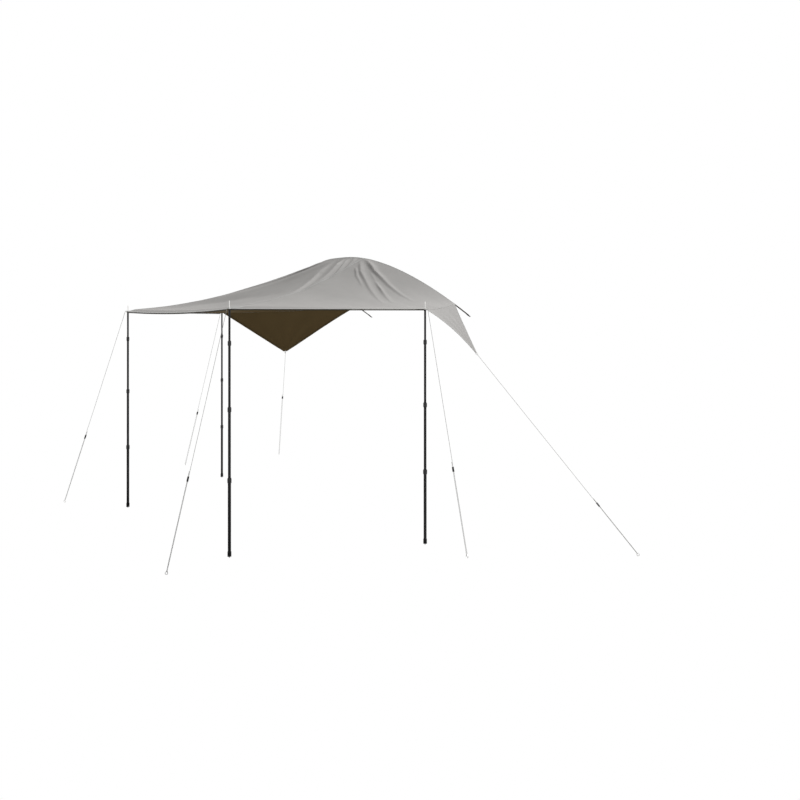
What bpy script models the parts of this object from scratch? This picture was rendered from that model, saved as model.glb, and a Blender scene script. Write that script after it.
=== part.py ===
"""Rooftop tent awning, pitched: canopy, telescopic poles, guy lines, tensioners and stakes.

Metres, +Z up. The origin is on the arched band, at the middle of the face that lies on the tent's arch.
+X runs to the right as seen from outside the front edge, and +Y runs inwards, to the arched edge.
Until the last step the awning is laid out from the ground, midway between the two side poles.
"""

import math

import bmesh
import bpy
from mathutils import Matrix, Vector

UP = Vector((0, 0, 1))

# Clearances
GAP = 0.0003            # between pieces that lie on each other
RUNNING = 0.0003        # round a tube that slides in another
CORD_ROOM = 0.0005      # round a cord in a hole

# Canopy layout
SIDE_POLE_X = 1.985
FRONT_POLE_X = 1.17
FRONT_POLE_Y = -1.555
EYELET_HEIGHT = 2.16    # top of a pole's shoulder, where an eyelet rests
WING_TIP_RIGHT = Vector((1.815, 0.871, EYELET_HEIGHT - 0.444))
WING_TIP_LEFT = Vector((1.704, 0.795, EYELET_HEIGHT - 0.523))      # as if on the right
FRONT_EDGE_DROP = 0.024
FRONT_EDGE_BOW = 0.035  # how far the front hem curves inwards
SIDE_EDGE_BOW = 0.020
WING_EDGE_BOW = 0.020
WING_START = 0.022      # share of the seam that is left free next to the pole

# Arched edge, a squarish half oval in a leaning plane
ARCH_HALF_WIDTH = 0.94
ARCH_FOOT = Vector((0, 1.79, EYELET_HEIGHT - 0.11))
ARCH_TOP = Vector((0, 0.46, EYELET_HEIGHT + 0.63))
ARCH_SQUARENESS = 2.8
ARCH_END = math.radians(24.5)      # where the canopy's edge ends on the arch
BAND_END = math.radians(10)        # the band runs on past the cloth to here
ARCH_RIDGE = math.radians(74.4)    # where the seam from a front pole meets it

# Cloth
CLOTH = 0.0015
SEAM = 0.0004           # between two panels
CORNER_REACH = 0.024    # how far the hem's corners run on past the poles
FLAT_FROM = 0.955       # share of a run past which the hem lies flat
FOLD_START = 0.0013     # from the side seam to the wing's first thread
HANG_FRONT = 0.137      # how far the cloth hangs under a straight line to the arch
HANG_RIDGE = 0.085
HANG_SIDE = 0.020
FOLD_HEIGHT = 0.024
SIDE_FOLDS = {          # start in columns from the seam and rows from the arch, cells long, half width
    "to_pole": (0, 0, 12, 0.036),
    "beside": (4, 2, 9, 0.030),
    "low": (5, 1, 8, 0.036),
}
FRONT_FOLDS = {         # columns from the seam to the start on the arch, and half width
    "nearest": (3, 0.018),
    "second": (6, 0.020),
    "third": (8, 0.022),
    "farthest": (11, 0.026),
}
HEM_FOLD = (math.radians(103), 0.48, 0.050)    # from a front pole towards the far knee
WING_BELLY = 0.012
TIP_BLUNT = 0.016       # cloth cut off at the wing's point

# Corner patches, eyelets and rings
PATCH_INSET = 0.005
PATCH = 0.002
FRONT_COLUMNS = 25
FRONT_ROWS = 20
SIDE_COLUMNS = 20
SIDE_ROWS = 20
EYELET_RADIUS = 0.0125
EYELET_HOLE = 0.0052
SEAT_RADIUS = 0.0120    # room under an eyelet for the pole's shoulder
EYELET_THICK = 0.007
EYELET_TURN = math.radians(4)      # no side of it lies along a seam
TIP_RING_RADIUS = 0.011
TIP_RING_WIRE = 0.0015
TIP_HOLE = 0.0023
TIP_HOLE_EDGE = 0.008   # hole's centre to the cloth's blunt end

# Band along the arched edge, and its end clips
BAND_WIDTH = 0.030
BAND = 0.002
BAND_OFFSET = 0.0015
CLIP_WIDTH = 0.024
CLIP_LENGTH = 0.056
CLIP = 0.004
CLIP_LAP = 0.020        # how much of it lies under the band
CLIP_SLOT = 0.004
CLIP_MOUTH = 0.008
CLIP_BAR = 0.004

# Poles: tubes from the lowest, which is the widest, to the highest
TUBE_RADII = (0.014, 0.0125, 0.011, 0.0095)
WALL = 0.0012
TUBE_TOPS = (0.31 * EYELET_HEIGHT, 0.595 * EYELET_HEIGHT, 0.862 * EYELET_HEIGHT)
TUBE_LAP = 0.06         # least length of a tube held in the one below
TOP_TUBE = 0.64
PIN_LENGTH = 0.026
PIN_RADIUS = 0.003
PIN_DEPTH = 0.014       # how far the pin is in the ground
PIN_POINT = 0.008
POINT_RADIUS = 0.0012
FOOT_HEIGHT = 0.045
FOOT_WALL = 0.003
FOOT_CHAMFER = 0.004
SHOULDER_RADIUS = 0.0115
SHOULDER_HEIGHT = 0.008
SPIKE_HEIGHT = 0.075
SPIKE_RADIUS = 0.004
COLLAR_HEIGHT = 0.044
COLLAR_NECK = 0.002     # over its tube
COLLAR_GRIP = 0.005
COLLAR_TAPER = 0.007
FLUTE = 0.0009
TUBE_SIDES = 16

# Guy lines
CORD_RADIUS = 0.00175
CORD_BEND = 0.008
CORD_BEND_START = 0.022
CORD_TAIL = 0.045       # past the tensioner
CORD_EYE_TURN = math.radians(275)
RING_END = 0.030
STAKE_OFFSETS = {       # from the pole or the wing's tip, on the ground
    "front_left": (-0.72, -0.45),
    "front_right": (0.07, -0.60),
    "side_left": (-1.15, 0.02),
    "side_right": (0.53, 0.01),
    "wing_left": (-1.307, 0.702),
    "wing_right": (1.629, 0.319),
}
LOOP_LENGTHS = {        # from the stake to the tensioner
    "front_left": 0.785,
    "front_right": 0.745,
    "side_left": 0.852,
    "side_right": 0.739,
    "wing_left": 1.273,
    "wing_right": 0.520,
}
TENSIONER = Vector((0.020, 0.009, 0.042))
TENSIONER_ROUND = 0.0035

# Stakes
STAKE_RING_RADIUS = 0.0115
STAKE_WIRE = 0.0022
STAKE_LENGTH = 0.20
STAKE_RADIUS = 0.0035
STAKE_POINT = 0.020
STAKE_LEAN = math.radians(25)


def clear_scene():
    for old in list(bpy.data.objects):
        bpy.data.objects.remove(old, do_unlink=True)


def new_collection(name):
    made = bpy.data.collections.new(name)
    bpy.context.scene.collection.children.link(made)
    return made


def new_material(name, colour, roughness, metallic=0.0):
    made = bpy.data.materials.new(name)
    made.use_nodes = True
    shader = made.node_tree.nodes["Principled BSDF"]
    shader.inputs["Base Color"].default_value = (*colour, 1)
    shader.inputs["Roughness"].default_value = roughness
    shader.inputs["Metallic"].default_value = metallic
    return made


clear_scene()
AWNING = new_collection("rooftop_tent_awning")
CUTTERS = new_collection("cutters")
CANVAS = new_material("grey_canvas", (0.33, 0.325, 0.305), 0.9)
WEBBING = new_material("dark_webbing", (0.045, 0.043, 0.040), 0.85)
BLACK_TUBE = new_material("black_tube", (0.018, 0.018, 0.019), 0.4, 0.6)
BLACK_PLASTIC = new_material("black_plastic", (0.02, 0.02, 0.02), 0.55)
STEEL = new_material("bright_steel", (0.62, 0.62, 0.60), 0.3, 1.0)
CORD = new_material("pale_cord", (0.62, 0.62, 0.58), 0.8)


def add_object(name, mesh, material, place=None, collection=AWNING):
    """An object with its material, at its place."""
    made = bpy.data.objects.new(name, mesh)
    collection.objects.link(made)
    if material and not mesh.materials:
        mesh.materials.append(material)
    if place is not None:
        made.matrix_world = place
    return made


def mesh_of(bm, name):
    """A mesh from a closed bmesh, with its faces pointing out."""
    bmesh.ops.recalc_face_normals(bm, faces=bm.faces)
    mesh = bpy.data.meshes.new(name)
    bm.to_mesh(mesh)
    bm.free()
    return mesh


def cylinder_mesh(name, radius, depth, sides):
    bm = bmesh.new()
    bmesh.ops.create_cone(bm, cap_ends=True, segments=sides, radius1=radius, radius2=radius, depth=depth)
    return mesh_of(bm, name)


def cutter(name, mesh, place):
    """A guide solid for a Boolean, which is no part of the awning."""
    made = add_object(name, mesh, None, place, CUTTERS)
    made.display_type = "WIRE"
    made.hide_render = True
    return made


def boolean(target, tool, operation):
    modifier = target.modifiers.new(f"{operation.lower()}_{tool.name}", "BOOLEAN")
    modifier.operation = operation
    modifier.object = tool
    modifier.solver = "EXACT"


def settled_mesh(made):
    """The mesh that an object's modifiers give, in the object's own space."""
    bpy.context.view_layer.update()
    graph = bpy.context.evaluated_depsgraph_get()
    return bpy.data.meshes.new_from_object(made.evaluated_get(graph))


def axes_matrix(origin, x_axis, z_axis):
    """A place from an origin, a rough x axis and an exact z axis."""
    z = z_axis.normalized()
    y = z.cross(x_axis).normalized()
    x = y.cross(z)
    place = Matrix((x, y, z)).transposed().to_4x4()
    place.translation = origin
    return place


def turned(name, profile, material, place, closed=False):
    """A body turned round Z from a profile of (radius, height), by a Screw modifier."""
    count = len(profile)
    edges = [(i, i + 1) for i in range(count - 1)]
    if closed:
        edges.append((count - 1, 0))
    mesh = bpy.data.meshes.new(name)
    mesh.from_pydata([(r, 0, z) for r, z in profile], edges, [])
    made = add_object(name, mesh, material, place)
    screw = made.modifiers.new("turn", "SCREW")
    screw.steps = screw.render_steps = TUBE_SIDES
    screw.use_merge_vertices = True
    screw.merge_threshold = 0.00001
    screw.use_smooth_shade = False
    return made


# The arched edge and the canopy's surface

ARCH_UP = (ARCH_TOP - ARCH_FOOT).normalized()
ARCH_LENGTH = (ARCH_TOP - ARCH_FOOT).length
ARCH_NORMAL = Vector((1, 0, 0)).cross(-ARCH_UP).normalized()
CORNER_HEIGHT = EYELET_HEIGHT + GAP + EYELET_THICK / 2 + PATCH / 2 + GAP + CLOTH / 2


def arch_point(angle, inward=0.0):
    """A point of the arch by its angle from the right foot, or one set in from it."""
    c, s = math.cos(angle), math.sin(angle)
    power = ARCH_SQUARENESS
    reach = (abs(c / ARCH_HALF_WIDTH) ** power + abs(s / ARCH_LENGTH) ** power) ** (-1 / power)
    point = Vector((reach * c, reach * s))
    if inward:
        step = 0.001
        along = (arch_plane(angle + step) - arch_plane(angle - step)).normalized()
        point += Vector((-along.y, along.x)) * inward
    return ARCH_FOOT + Vector((point.x, 0, 0)) + ARCH_UP * point.y


def arch_plane(angle):
    point = arch_point(angle) - ARCH_FOOT
    return Vector((point.x, point.dot(ARCH_UP)))


def bow(share):
    """A parabola that is 0 at both ends and 1 in the middle."""
    return 4 * share * (1 - share)


def hem_corner(x, y, angle):
    """The hem's corner past a pole, on the line from the arch through the pole."""
    pole_point = Vector((x, y, CORNER_HEIGHT))
    return pole_point + (pole_point - arch_point(angle)).normalized() * CORNER_REACH


SIDE_CORNER = hem_corner(SIDE_POLE_X, 0, ARCH_END)
FRONT_CORNER = hem_corner(FRONT_POLE_X, FRONT_POLE_Y, ARCH_RIDGE)


def outer_point(angle):
    """The outer hem's point that the cloth runs to from the arch at this angle, right half."""
    if angle < ARCH_RIDGE:
        share = (angle - ARCH_END) / (ARCH_RIDGE - ARCH_END)
        edge = (SIDE_CORNER - FRONT_CORNER).normalized()
        return SIDE_CORNER.lerp(FRONT_CORNER, share) - SIDE_EDGE_BOW * bow(share) * edge.cross(UP)
    share = (angle - ARCH_RIDGE) / (math.pi - 2 * ARCH_RIDGE)
    return Vector((
        FRONT_CORNER.x * (1 - 2 * share),
        FRONT_CORNER.y + FRONT_EDGE_BOW * bow(share),
        FRONT_CORNER.z - FRONT_EDGE_DROP * bow(share),
    ))


def hang(angle):
    """How far the cloth hangs at its lowest on the run from this angle."""
    if angle < ARCH_RIDGE:
        share = (angle - ARCH_END) / (ARCH_RIDGE - ARCH_END)
        return HANG_SIDE + (HANG_RIDGE - HANG_SIDE) * share
    share = (angle - ARCH_RIDGE) / (math.pi - 2 * ARCH_RIDGE)
    return HANG_RIDGE + (HANG_FRONT - HANG_RIDGE) * bow(share)


def hang_share(run):
    """The hang along a run, deepest just over half way out to the flat hem."""
    share = min(1.0, run / FLAT_FROM)
    deepest = (6 / 11) ** 1.2 * (5 / 11)
    return share ** 1.2 * (1 - share) / deepest


def smooth_point(angle, run):
    """A point of the canopy without its folds."""
    point = arch_point(angle).lerp(outer_point(angle), run)
    point.z -= hang(angle) * hang_share(run)
    return point


def fold(angle, run, start, end, half_width):
    """Height of one fold, a rounded ridge along a line between two points of (angle, run)."""
    along = (run - start[1]) / (end[1] - start[1])
    if not 0 < along < 1:
        return 0.0
    crest = start[0] + (end[0] - start[0]) * along
    sideways = (smooth_point(crest + 0.01, run) - smooth_point(crest, run)) / 0.01
    onward = (smooth_point(crest, run + 0.01) - smooth_point(crest, run)) / 0.01
    way = (onward * (end[1] - start[1]) + sideways * (end[0] - start[0])).normalized()
    offset = sideways * (angle - crest)
    aside = (offset - way * offset.dot(way)).length
    fade = along ** 0.3 * (1 - along) * 1.7
    return FOLD_HEIGHT * fade * math.exp(-(aside / half_width) ** 2)


def folds(angle, run):
    """Height of all the folds that the pull between the arch's knees and the poles makes."""
    near = min(angle, math.pi - angle)
    height = 0.0
    column = (ARCH_RIDGE - ARCH_END) / SIDE_COLUMNS
    row = FLAT_FROM / (SIDE_ROWS - 1)
    for columns, rows, long, half_width in SIDE_FOLDS.values():
        start = (ARCH_RIDGE - column * columns, row * rows)
        end = (start[0] - column * long, start[1] + row * long)
        height += fold(near, run, start, end, half_width)
    column = (math.pi - 2 * ARCH_RIDGE) / FRONT_COLUMNS
    row = FLAT_FROM / (FRONT_ROWS - 1)
    for columns, half_width in FRONT_FOLDS.values():
        start = (ARCH_RIDGE + column * columns, 0)
        height += fold(near, run, start, (ARCH_RIDGE, row * columns), half_width)
    far_angle, far_run, half_width = HEM_FOLD
    height += 0.6 * fold(angle, run, (ARCH_RIDGE, FLAT_FROM), (far_angle, far_run), half_width)
    return height


def canopy_point(angle, run):
    """A point of the canopy's middle surface: run is 0 on the arch and 1 on the outer hem."""
    return smooth_point(angle, run) + UP * folds(angle, run)


def grid_mesh(name, columns, rows, place_point, thickness, mirrored=False):
    """A sheet mapped from a flat grid and given its thickness by an extrusion along a vector.

    Its cells are cut along the diagonals that the folds run along, which lean the other way on
    the far half of a mirrored sheet.
    """
    bm = bmesh.new()
    bmesh.ops.create_grid(bm, x_segments=columns, y_segments=rows, size=0.5)
    for face in bm.faces[:]:
        corners = sorted(face.verts, key=lambda vertex: (round(vertex.co.y, 5), vertex.co.x))
        far = mirrored and face.calc_center_median().x > 0
        pair = (corners[0], corners[3]) if far else (corners[1], corners[2])
        bmesh.utils.face_split(face, *pair)
    for vertex in bm.verts:
        vertex.co = place_point(vertex.co.x + 0.5, vertex.co.y + 0.5) - thickness / 2
    grown = bmesh.ops.extrude_face_region(bm, geom=bm.faces[:])
    moved = [part for part in grown["geom"] if isinstance(part, bmesh.types.BMVert)]
    bmesh.ops.translate(bm, verts=moved, vec=thickness)
    return mesh_of(bm, name)


def run_side(angle):
    """The level direction square to a run, towards the runs of greater angles."""
    side = (canopy_point(angle, 1) - canopy_point(angle, 0)).cross(UP).normalized()
    ahead = canopy_point(angle + 0.01, 0.5) - canopy_point(angle, 0.5)
    return side if side.dot(ahead) > 0 else -side


def panel(name, start, end, columns, rows, sign=1):
    """A cloth panel between two runs of the canopy, drawn in from its seams."""
    first, last = run_side(start), run_side(end)

    def place_point(across, out):
        step = out * rows / (rows - 1)
        run = FLAT_FROM * step if step < 1.0001 else 1.0
        point = canopy_point(start + (end - start) * across, run)
        if across < 0.0001:
            point += first * SEAM / 2
        elif across > 0.9999:
            point -= last * SEAM / 2
        return Vector((sign * point.x, point.y, point.z))

    mesh = grid_mesh(name, columns, rows, place_point, UP * CLOTH, end > math.pi / 2)
    return add_object(name, mesh, CANVAS)


def wing_tip(sign):
    return WING_TIP_RIGHT if sign > 0 else WING_TIP_LEFT


def wing_depth(sign):
    return (wing_tip(sign) - canopy_point(ARCH_END, 0.5)).length


def wing_point(across, down, sign):
    """A point of a side wing: across goes from pole to arch, down goes from the seam to the tip."""
    narrowed = across * (1 - WING_EDGE_BOW * bow(down))
    top = canopy_point(ARCH_END, (1 - WING_START) * (1 - narrowed))
    point = top.lerp(wing_tip(sign), down)
    return Vector((sign * point.x, point.y, point.z))


def wing_normal(sign):
    corner, arch, tip = wing_point(0, 0, sign), wing_point(1, 0, sign), wing_point(0, 1, sign)
    return (arch - corner).cross(tip - corner).normalized() * -sign


def tip_hole(sign):
    return wing_point(0.5, 1 - (TIP_BLUNT + TIP_HOLE_EDGE) / wing_depth(sign), sign)


def wing(name, sign):
    normal = wing_normal(sign)
    depth = wing_depth(sign)
    start, end = FOLD_START / depth, 1 - TIP_BLUNT / depth

    def place_point(across, out):
        down = start + (end - start) * out
        belly = WING_BELLY * math.sin(math.pi * across) * math.sin(math.pi * out)
        return wing_point(across, down, sign) + normal * belly

    made = add_object(name, grid_mesh(name, 8, 8, place_point, normal * CLOTH), CANVAS)
    hole = cylinder_mesh(f"{name}_hole", TIP_HOLE, 10 * CLOTH, 12)
    boolean(made, cutter(f"{name}_hole", hole, axes_matrix(tip_hole(sign), UP, normal)), "DIFFERENCE")
    return made


def corner_cutters():
    """Upright cylinders that cut the cloth away round each eyelet."""
    radius, depth = EYELET_RADIUS + CORD_ROOM, 20 * EYELET_THICK
    made = {}
    for name, (x, y) in POLES.items():
        mesh = cylinder_mesh(f"{name}_corner", radius, depth, 20)
        made[name] = cutter(f"{name}_corner", mesh, Matrix.Translation((x, y, CORNER_HEIGHT)))
    return made


POLES = {
    "front_left": (-FRONT_POLE_X, FRONT_POLE_Y),
    "front_right": (FRONT_POLE_X, FRONT_POLE_Y),
    "side_left": (-SIDE_POLE_X, 0.0),
    "side_right": (SIDE_POLE_X, 0.0),
}


def canopy():
    """Front panel, two side panels and two wings."""
    cuts = corner_cutters()
    front = panel("canopy_front_panel", ARCH_RIDGE, math.pi - ARCH_RIDGE, FRONT_COLUMNS, FRONT_ROWS)
    boolean(front, cuts["front_left"], "DIFFERENCE")
    boolean(front, cuts["front_right"], "DIFFERENCE")
    for side, sign in (("right", 1), ("left", -1)):
        made = panel(f"canopy_{side}_panel", ARCH_END, ARCH_RIDGE, SIDE_COLUMNS, SIDE_ROWS, sign)
        boolean(made, cuts[f"front_{side}"], "DIFFERENCE")
        boolean(made, cuts[f"side_{side}"], "DIFFERENCE")
        wing(f"canopy_{side}_wing", sign)


def corner_patch(name, sign, at_front):
    """A reinforcing patch under a corner of the canopy, with the eyelet that the pole's spike fills."""
    x, y = POLES[name]
    side_column = (ARCH_RIDGE - ARCH_END) / SIDE_COLUMNS
    front_column = (math.pi - 2 * ARCH_RIDGE) / FRONT_COLUMNS
    if at_front:
        angles = (ARCH_RIDGE - side_column, ARCH_RIDGE, ARCH_RIDGE + front_column)
    else:
        angles = (ARCH_END, ARCH_END + side_column)
    drop = UP * (CLOTH / 2 + GAP + PATCH / 2)
    last = len(angles) - 1

    def place_point(across, out):
        run = FLAT_FROM + (1 - FLAT_FROM) * out
        point = canopy_point(angles[round(across * last)], run) - drop
        if not at_front and across < 0.0001:
            point += run_side(ARCH_END) * PATCH_INSET
        return Vector((sign * point.x, point.y, point.z))

    made = add_object(f"{name}_corner_patch", grid_mesh(name, last, 1, place_point, UP * PATCH), WEBBING)
    middle = EYELET_HEIGHT + GAP + EYELET_THICK / 2
    disc = cylinder_mesh(f"{name}_eyelet", EYELET_RADIUS, EYELET_THICK, 20)
    hole = cylinder_mesh(f"{name}_eyelet_hole", EYELET_HOLE, 3 * EYELET_THICK, 12)
    seat = cylinder_mesh(f"{name}_seat", SEAT_RADIUS, SHOULDER_HEIGHT, 20)
    place = Matrix.Translation((x, y, middle)) @ Matrix.Rotation(EYELET_TURN, 4, "Z")
    under = Matrix.Translation((0, 0, EYELET_THICK / 4 - (EYELET_THICK + SHOULDER_HEIGHT) / 2))
    boolean(made, cutter(f"{name}_seat", seat, place @ under), "DIFFERENCE")
    boolean(made, cutter(f"{name}_eyelet", disc, place), "UNION")
    boolean(made, cutter(f"{name}_eyelet_hole", hole, place), "DIFFERENCE")


def arch_band():
    """A flat band in the arch's plane, along the whole arched edge and on past its ends."""
    def place_point(across, out):
        angle = BAND_END + (math.pi - 2 * BAND_END) * across
        return arch_point(angle, BAND_OFFSET + BAND_WIDTH * out)

    name = "arch_band"
    return add_object(name, grid_mesh(name, 40, 1, place_point, ARCH_NORMAL * BAND), WEBBING)


def arch_clip(name, sign):
    """A flat clip under an end of the band: a bar that the band is sewn round, and an open hook."""
    end = arch_point(BAND_END, BAND_OFFSET + BAND_WIDTH / 2)
    on = arch_point(BAND_END + 0.01, BAND_OFFSET + BAND_WIDTH / 2)
    along = (end - on).normalized()
    centre = end + along * (CLIP_LENGTH / 2 - CLIP_LAP) - ARCH_NORMAL * (BAND / 2 + GAP + CLIP / 2)
    flip = Vector((sign, 1, 1))
    place = axes_matrix(centre * flip, along * flip, ARCH_NORMAL)
    bm = bmesh.new()
    bmesh.ops.create_cube(bm, size=1, matrix=Matrix.Diagonal((CLIP_LENGTH, CLIP_WIDTH, CLIP, 1)))
    upright = [e for e in bm.edges if abs((e.verts[0].co - e.verts[1].co).z) > CLIP / 2]
    bmesh.ops.bevel(bm, geom=upright, offset=CLIP_WIDTH / 5, segments=3, profile=0.5, affect="EDGES",
                    material=-1)
    made = add_object(name, mesh_of(bm, name), BLACK_PLASTIC, place)
    slot_x = -CLIP_LENGTH / 2 + CLIP_BAR + CLIP_SLOT / 2
    mouth_x = CLIP_LENGTH / 2 - CLIP_BAR - CLIP_MOUTH / 2
    cuts = (
        ("slot", (CLIP_SLOT, CLIP_WIDTH - 2 * CLIP_BAR), (slot_x, 0)),
        ("mouth", (CLIP_MOUTH, CLIP_WIDTH), (mouth_x, CLIP_BAR)),
    )
    for part, (long, wide), (x, y) in cuts:
        bm = bmesh.new()
        bmesh.ops.create_cube(bm, size=1, matrix=Matrix.Diagonal((long, wide, 3 * CLIP, 1)))
        tool = cutter(f"{name}_{part}", mesh_of(bm, part), place @ Matrix.Translation((x, y, 0)))
        boolean(made, tool, "DIFFERENCE")


# Poles

def base_tube(name, x, y):
    """The lowest tube, open at the top, with its foot and ground pin."""
    outer, bore = TUBE_RADII[0], TUBE_RADII[0] - WALL
    foot = outer + FOOT_WALL
    foot_low = PIN_LENGTH - PIN_DEPTH
    foot_top = foot_low + FOOT_HEIGHT
    profile = [
        (0, foot_top), (bore, foot_top), (bore, TUBE_TOPS[0]), (outer, TUBE_TOPS[0]),
        (outer, foot_top), (foot, foot_top - FOOT_CHAMFER), (foot, foot_low),
        (PIN_RADIUS, foot_low), (PIN_RADIUS, PIN_POINT - PIN_DEPTH), (POINT_RADIUS, -PIN_DEPTH),
        (0, -PIN_DEPTH),
    ]
    turned(f"{name}_base_tube", profile, BLACK_TUBE, Matrix.Translation((x, y, 0)))


def middle_tube(name, x, y, number):
    """A tube that is open at both ends and slides in the tube below it."""
    outer, bore = TUBE_RADII[number], TUBE_RADII[number] - WALL
    low, high = TUBE_TOPS[number - 1] - TUBE_LAP, TUBE_TOPS[number]
    profile = [(outer, high), (outer, low), (bore, low), (bore, high)]
    turned(name, profile, BLACK_TUBE, Matrix.Translation((x, y, 0)), closed=True)


def top_tube(name, x, y):
    """The thinnest tube, closed by a shoulder that carries the canopy and the spike over it."""
    outer, bore = TUBE_RADII[3], TUBE_RADII[3] - WALL
    top, under = EYELET_HEIGHT, EYELET_HEIGHT - SHOULDER_HEIGHT
    low = EYELET_HEIGHT - TOP_TUBE
    profile = [
        (0, top + SPIKE_HEIGHT), (POINT_RADIUS, top + SPIKE_HEIGHT),
        (SPIKE_RADIUS, top + SPIKE_HEIGHT - PIN_POINT), (SPIKE_RADIUS, top), (SHOULDER_RADIUS, top),
        (SHOULDER_RADIUS, under), (outer, under), (outer, low), (bore, low), (bore, under),
        (0, under),
    ]
    turned(f"{name}_top_tube", profile, BLACK_TUBE, Matrix.Translation((x, y, 0)))


def collar(name, x, y, number):
    """A fluted twist collar round the top of a tube, over a neck that grips the next tube."""
    tube, inner = TUBE_RADII[number], TUBE_RADII[number + 1]
    half, step = COLLAR_HEIGHT / 2, GAP
    grip, neck = tube + COLLAR_GRIP, tube + COLLAR_NECK
    profile = [
        (inner + RUNNING, half), (neck, half), (grip, half - COLLAR_TAPER),
        (grip, COLLAR_TAPER - half), (neck, -half), (tube + RUNNING, -half),
        (tube + RUNNING, step), (inner + RUNNING, step),
    ]
    bm = bmesh.new()
    ring = [bm.verts.new((r, 0, z)) for r, z in profile]
    edges = [bm.edges.new((ring[i - 1], ring[i])) for i in range(len(ring))]
    bmesh.ops.spin(bm, geom=ring + edges, axis=UP, cent=(0, 0, 0), steps=TUBE_SIDES,
                   angle=2 * math.pi, use_merge=True)
    bmesh.ops.remove_doubles(bm, verts=bm.verts, dist=0.00001)
    for vertex in bm.verts:
        radius = math.hypot(vertex.co.x, vertex.co.y)
        place = round(math.atan2(vertex.co.y, vertex.co.x) / (2 * math.pi) * TUBE_SIDES)
        if radius > grip - FLUTE / 2 and place % 2:
            vertex.co.xy *= (radius - FLUTE) / radius
    place = Matrix.Translation((x, y, TUBE_TOPS[number]))
    add_object(name, mesh_of(bm, name), BLACK_PLASTIC, place)


def pole(name, x, y):
    base_tube(name, x, y)
    middle_tube(f"{name}_second_tube", x, y, 1)
    middle_tube(f"{name}_third_tube", x, y, 2)
    top_tube(name, x, y)
    for number, level in enumerate(("lower", "middle", "upper")):
        collar(f"{name}_{level}_collar", x, y, number)


# Guy lines, tensioners and stakes

def arc(centre, along, across, radius, start, end, steps):
    """Points on an arc, from one angle to another, counted from one direction to a second."""
    angles = [start + (end - start) * i / steps for i in range(steps + 1)]
    return [centre + radius * (along * math.cos(a) + across * math.sin(a)) for a in angles]


def spike_eye(x, y, out, aside, ring):
    """The cord's eye round a pole's spike and its bend over the eyelet, and where it runs straight."""
    level = EYELET_HEIGHT + GAP + EYELET_THICK + GAP + CORD_RADIUS
    centre = Vector((x, y, level))
    turn = SPIKE_RADIUS + CORD_ROOM + CORD_RADIUS
    eye = arc(centre, aside, out, turn, -CORD_EYE_TURN, 0, 10)
    bend_centre = centre + out * CORD_BEND_START - UP * CORD_BEND
    slope = math.pi / 4
    for _ in range(8):
        leave = bend_centre + CORD_BEND * (out * math.sin(slope) + UP * math.cos(slope))
        line = ring - leave
        slope = math.atan2(-line.z, line.dot(out))
    bend = arc(bend_centre + aside * turn, UP, out, CORD_BEND, 0, slope, 5)
    return eye + bend, leave


def tip_eye(hole, ring, normal):
    """The cord's turn through a wing's ring, and where it runs straight."""
    line = (ring - hole).normalized()
    aside = line.cross(normal).normalized()
    if aside.dot(line.cross(UP)) < 0:
        aside.negate()
    wire = hole + line * 2 * TIP_RING_RADIUS
    turn = TIP_RING_WIRE + CORD_ROOM + CORD_RADIUS
    eye = arc(wire, -aside, -line, turn, 0, math.pi, 6)
    return [eye[0] + line * RING_END] + eye, wire


def cord(name, points):
    """A round cord along its points."""
    curve = bpy.data.curves.new(name, "CURVE")
    curve.dimensions = "3D"
    curve.bevel_depth = CORD_RADIUS
    curve.bevel_resolution = 2
    curve.use_fill_caps = True
    spline = curve.splines.new("POLY")
    spline.points.add(len(points) - 1)
    for knot, point in zip(spline.points, points):
        knot.co = (*point, 1)
    curve.materials.append(CORD)
    made = bpy.data.objects.new(name, curve)
    AWNING.objects.link(made)


def ring_mesh(name, radius, wire):
    """A wire ring round Z."""
    bm = bmesh.new()
    made = bmesh.ops.create_circle(bm, segments=6, radius=wire, cap_ends=False)
    to_side = Matrix.Translation((radius, 0, 0)) @ Matrix.Rotation(math.pi / 2, 4, "X")
    bmesh.ops.transform(bm, matrix=to_side, verts=made["verts"])
    bmesh.ops.spin(bm, geom=bm.verts[:] + bm.edges[:], axis=UP, cent=(0, 0, 0), steps=14,
                   angle=2 * math.pi, use_merge=True)
    bmesh.ops.remove_doubles(bm, verts=bm.verts, dist=0.00001)
    return mesh_of(bm, name)


def stake_mesh():
    """A ground stake under its ring, along -Z, with a long point."""
    shaft_top = -STAKE_RING_RADIUS
    straight = STAKE_LENGTH - STAKE_POINT
    bm = bmesh.new()
    bmesh.ops.create_cone(
        bm, cap_ends=True, segments=10, radius1=POINT_RADIUS, radius2=STAKE_RADIUS,
        depth=STAKE_POINT, matrix=Matrix.Translation((0, 0, shaft_top - straight - STAKE_POINT / 2)))
    top = [face for face in bm.faces if face.normal.z > 0.9]
    grown = bmesh.ops.extrude_face_region(bm, geom=top)
    bmesh.ops.delete(bm, geom=top, context="FACES_ONLY")
    moved = [part for part in grown["geom"] if isinstance(part, bmesh.types.BMVert)]
    bmesh.ops.translate(bm, verts=moved, vec=UP * straight)
    shaft = add_object("stake_shaft", mesh_of(bm, "stake_shaft"), None, None, CUTTERS)
    ring = cutter("stake_ring", ring_mesh("stake_ring", STAKE_RING_RADIUS, STAKE_WIRE),
                  Matrix.Rotation(math.pi / 2, 4, "X"))
    boolean(shaft, ring, "UNION")
    mesh = settled_mesh(shaft)
    shaft.hide_render = True
    shaft.display_type = "WIRE"
    mesh.materials.clear()
    mesh.materials.append(STEEL)
    return mesh


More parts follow.
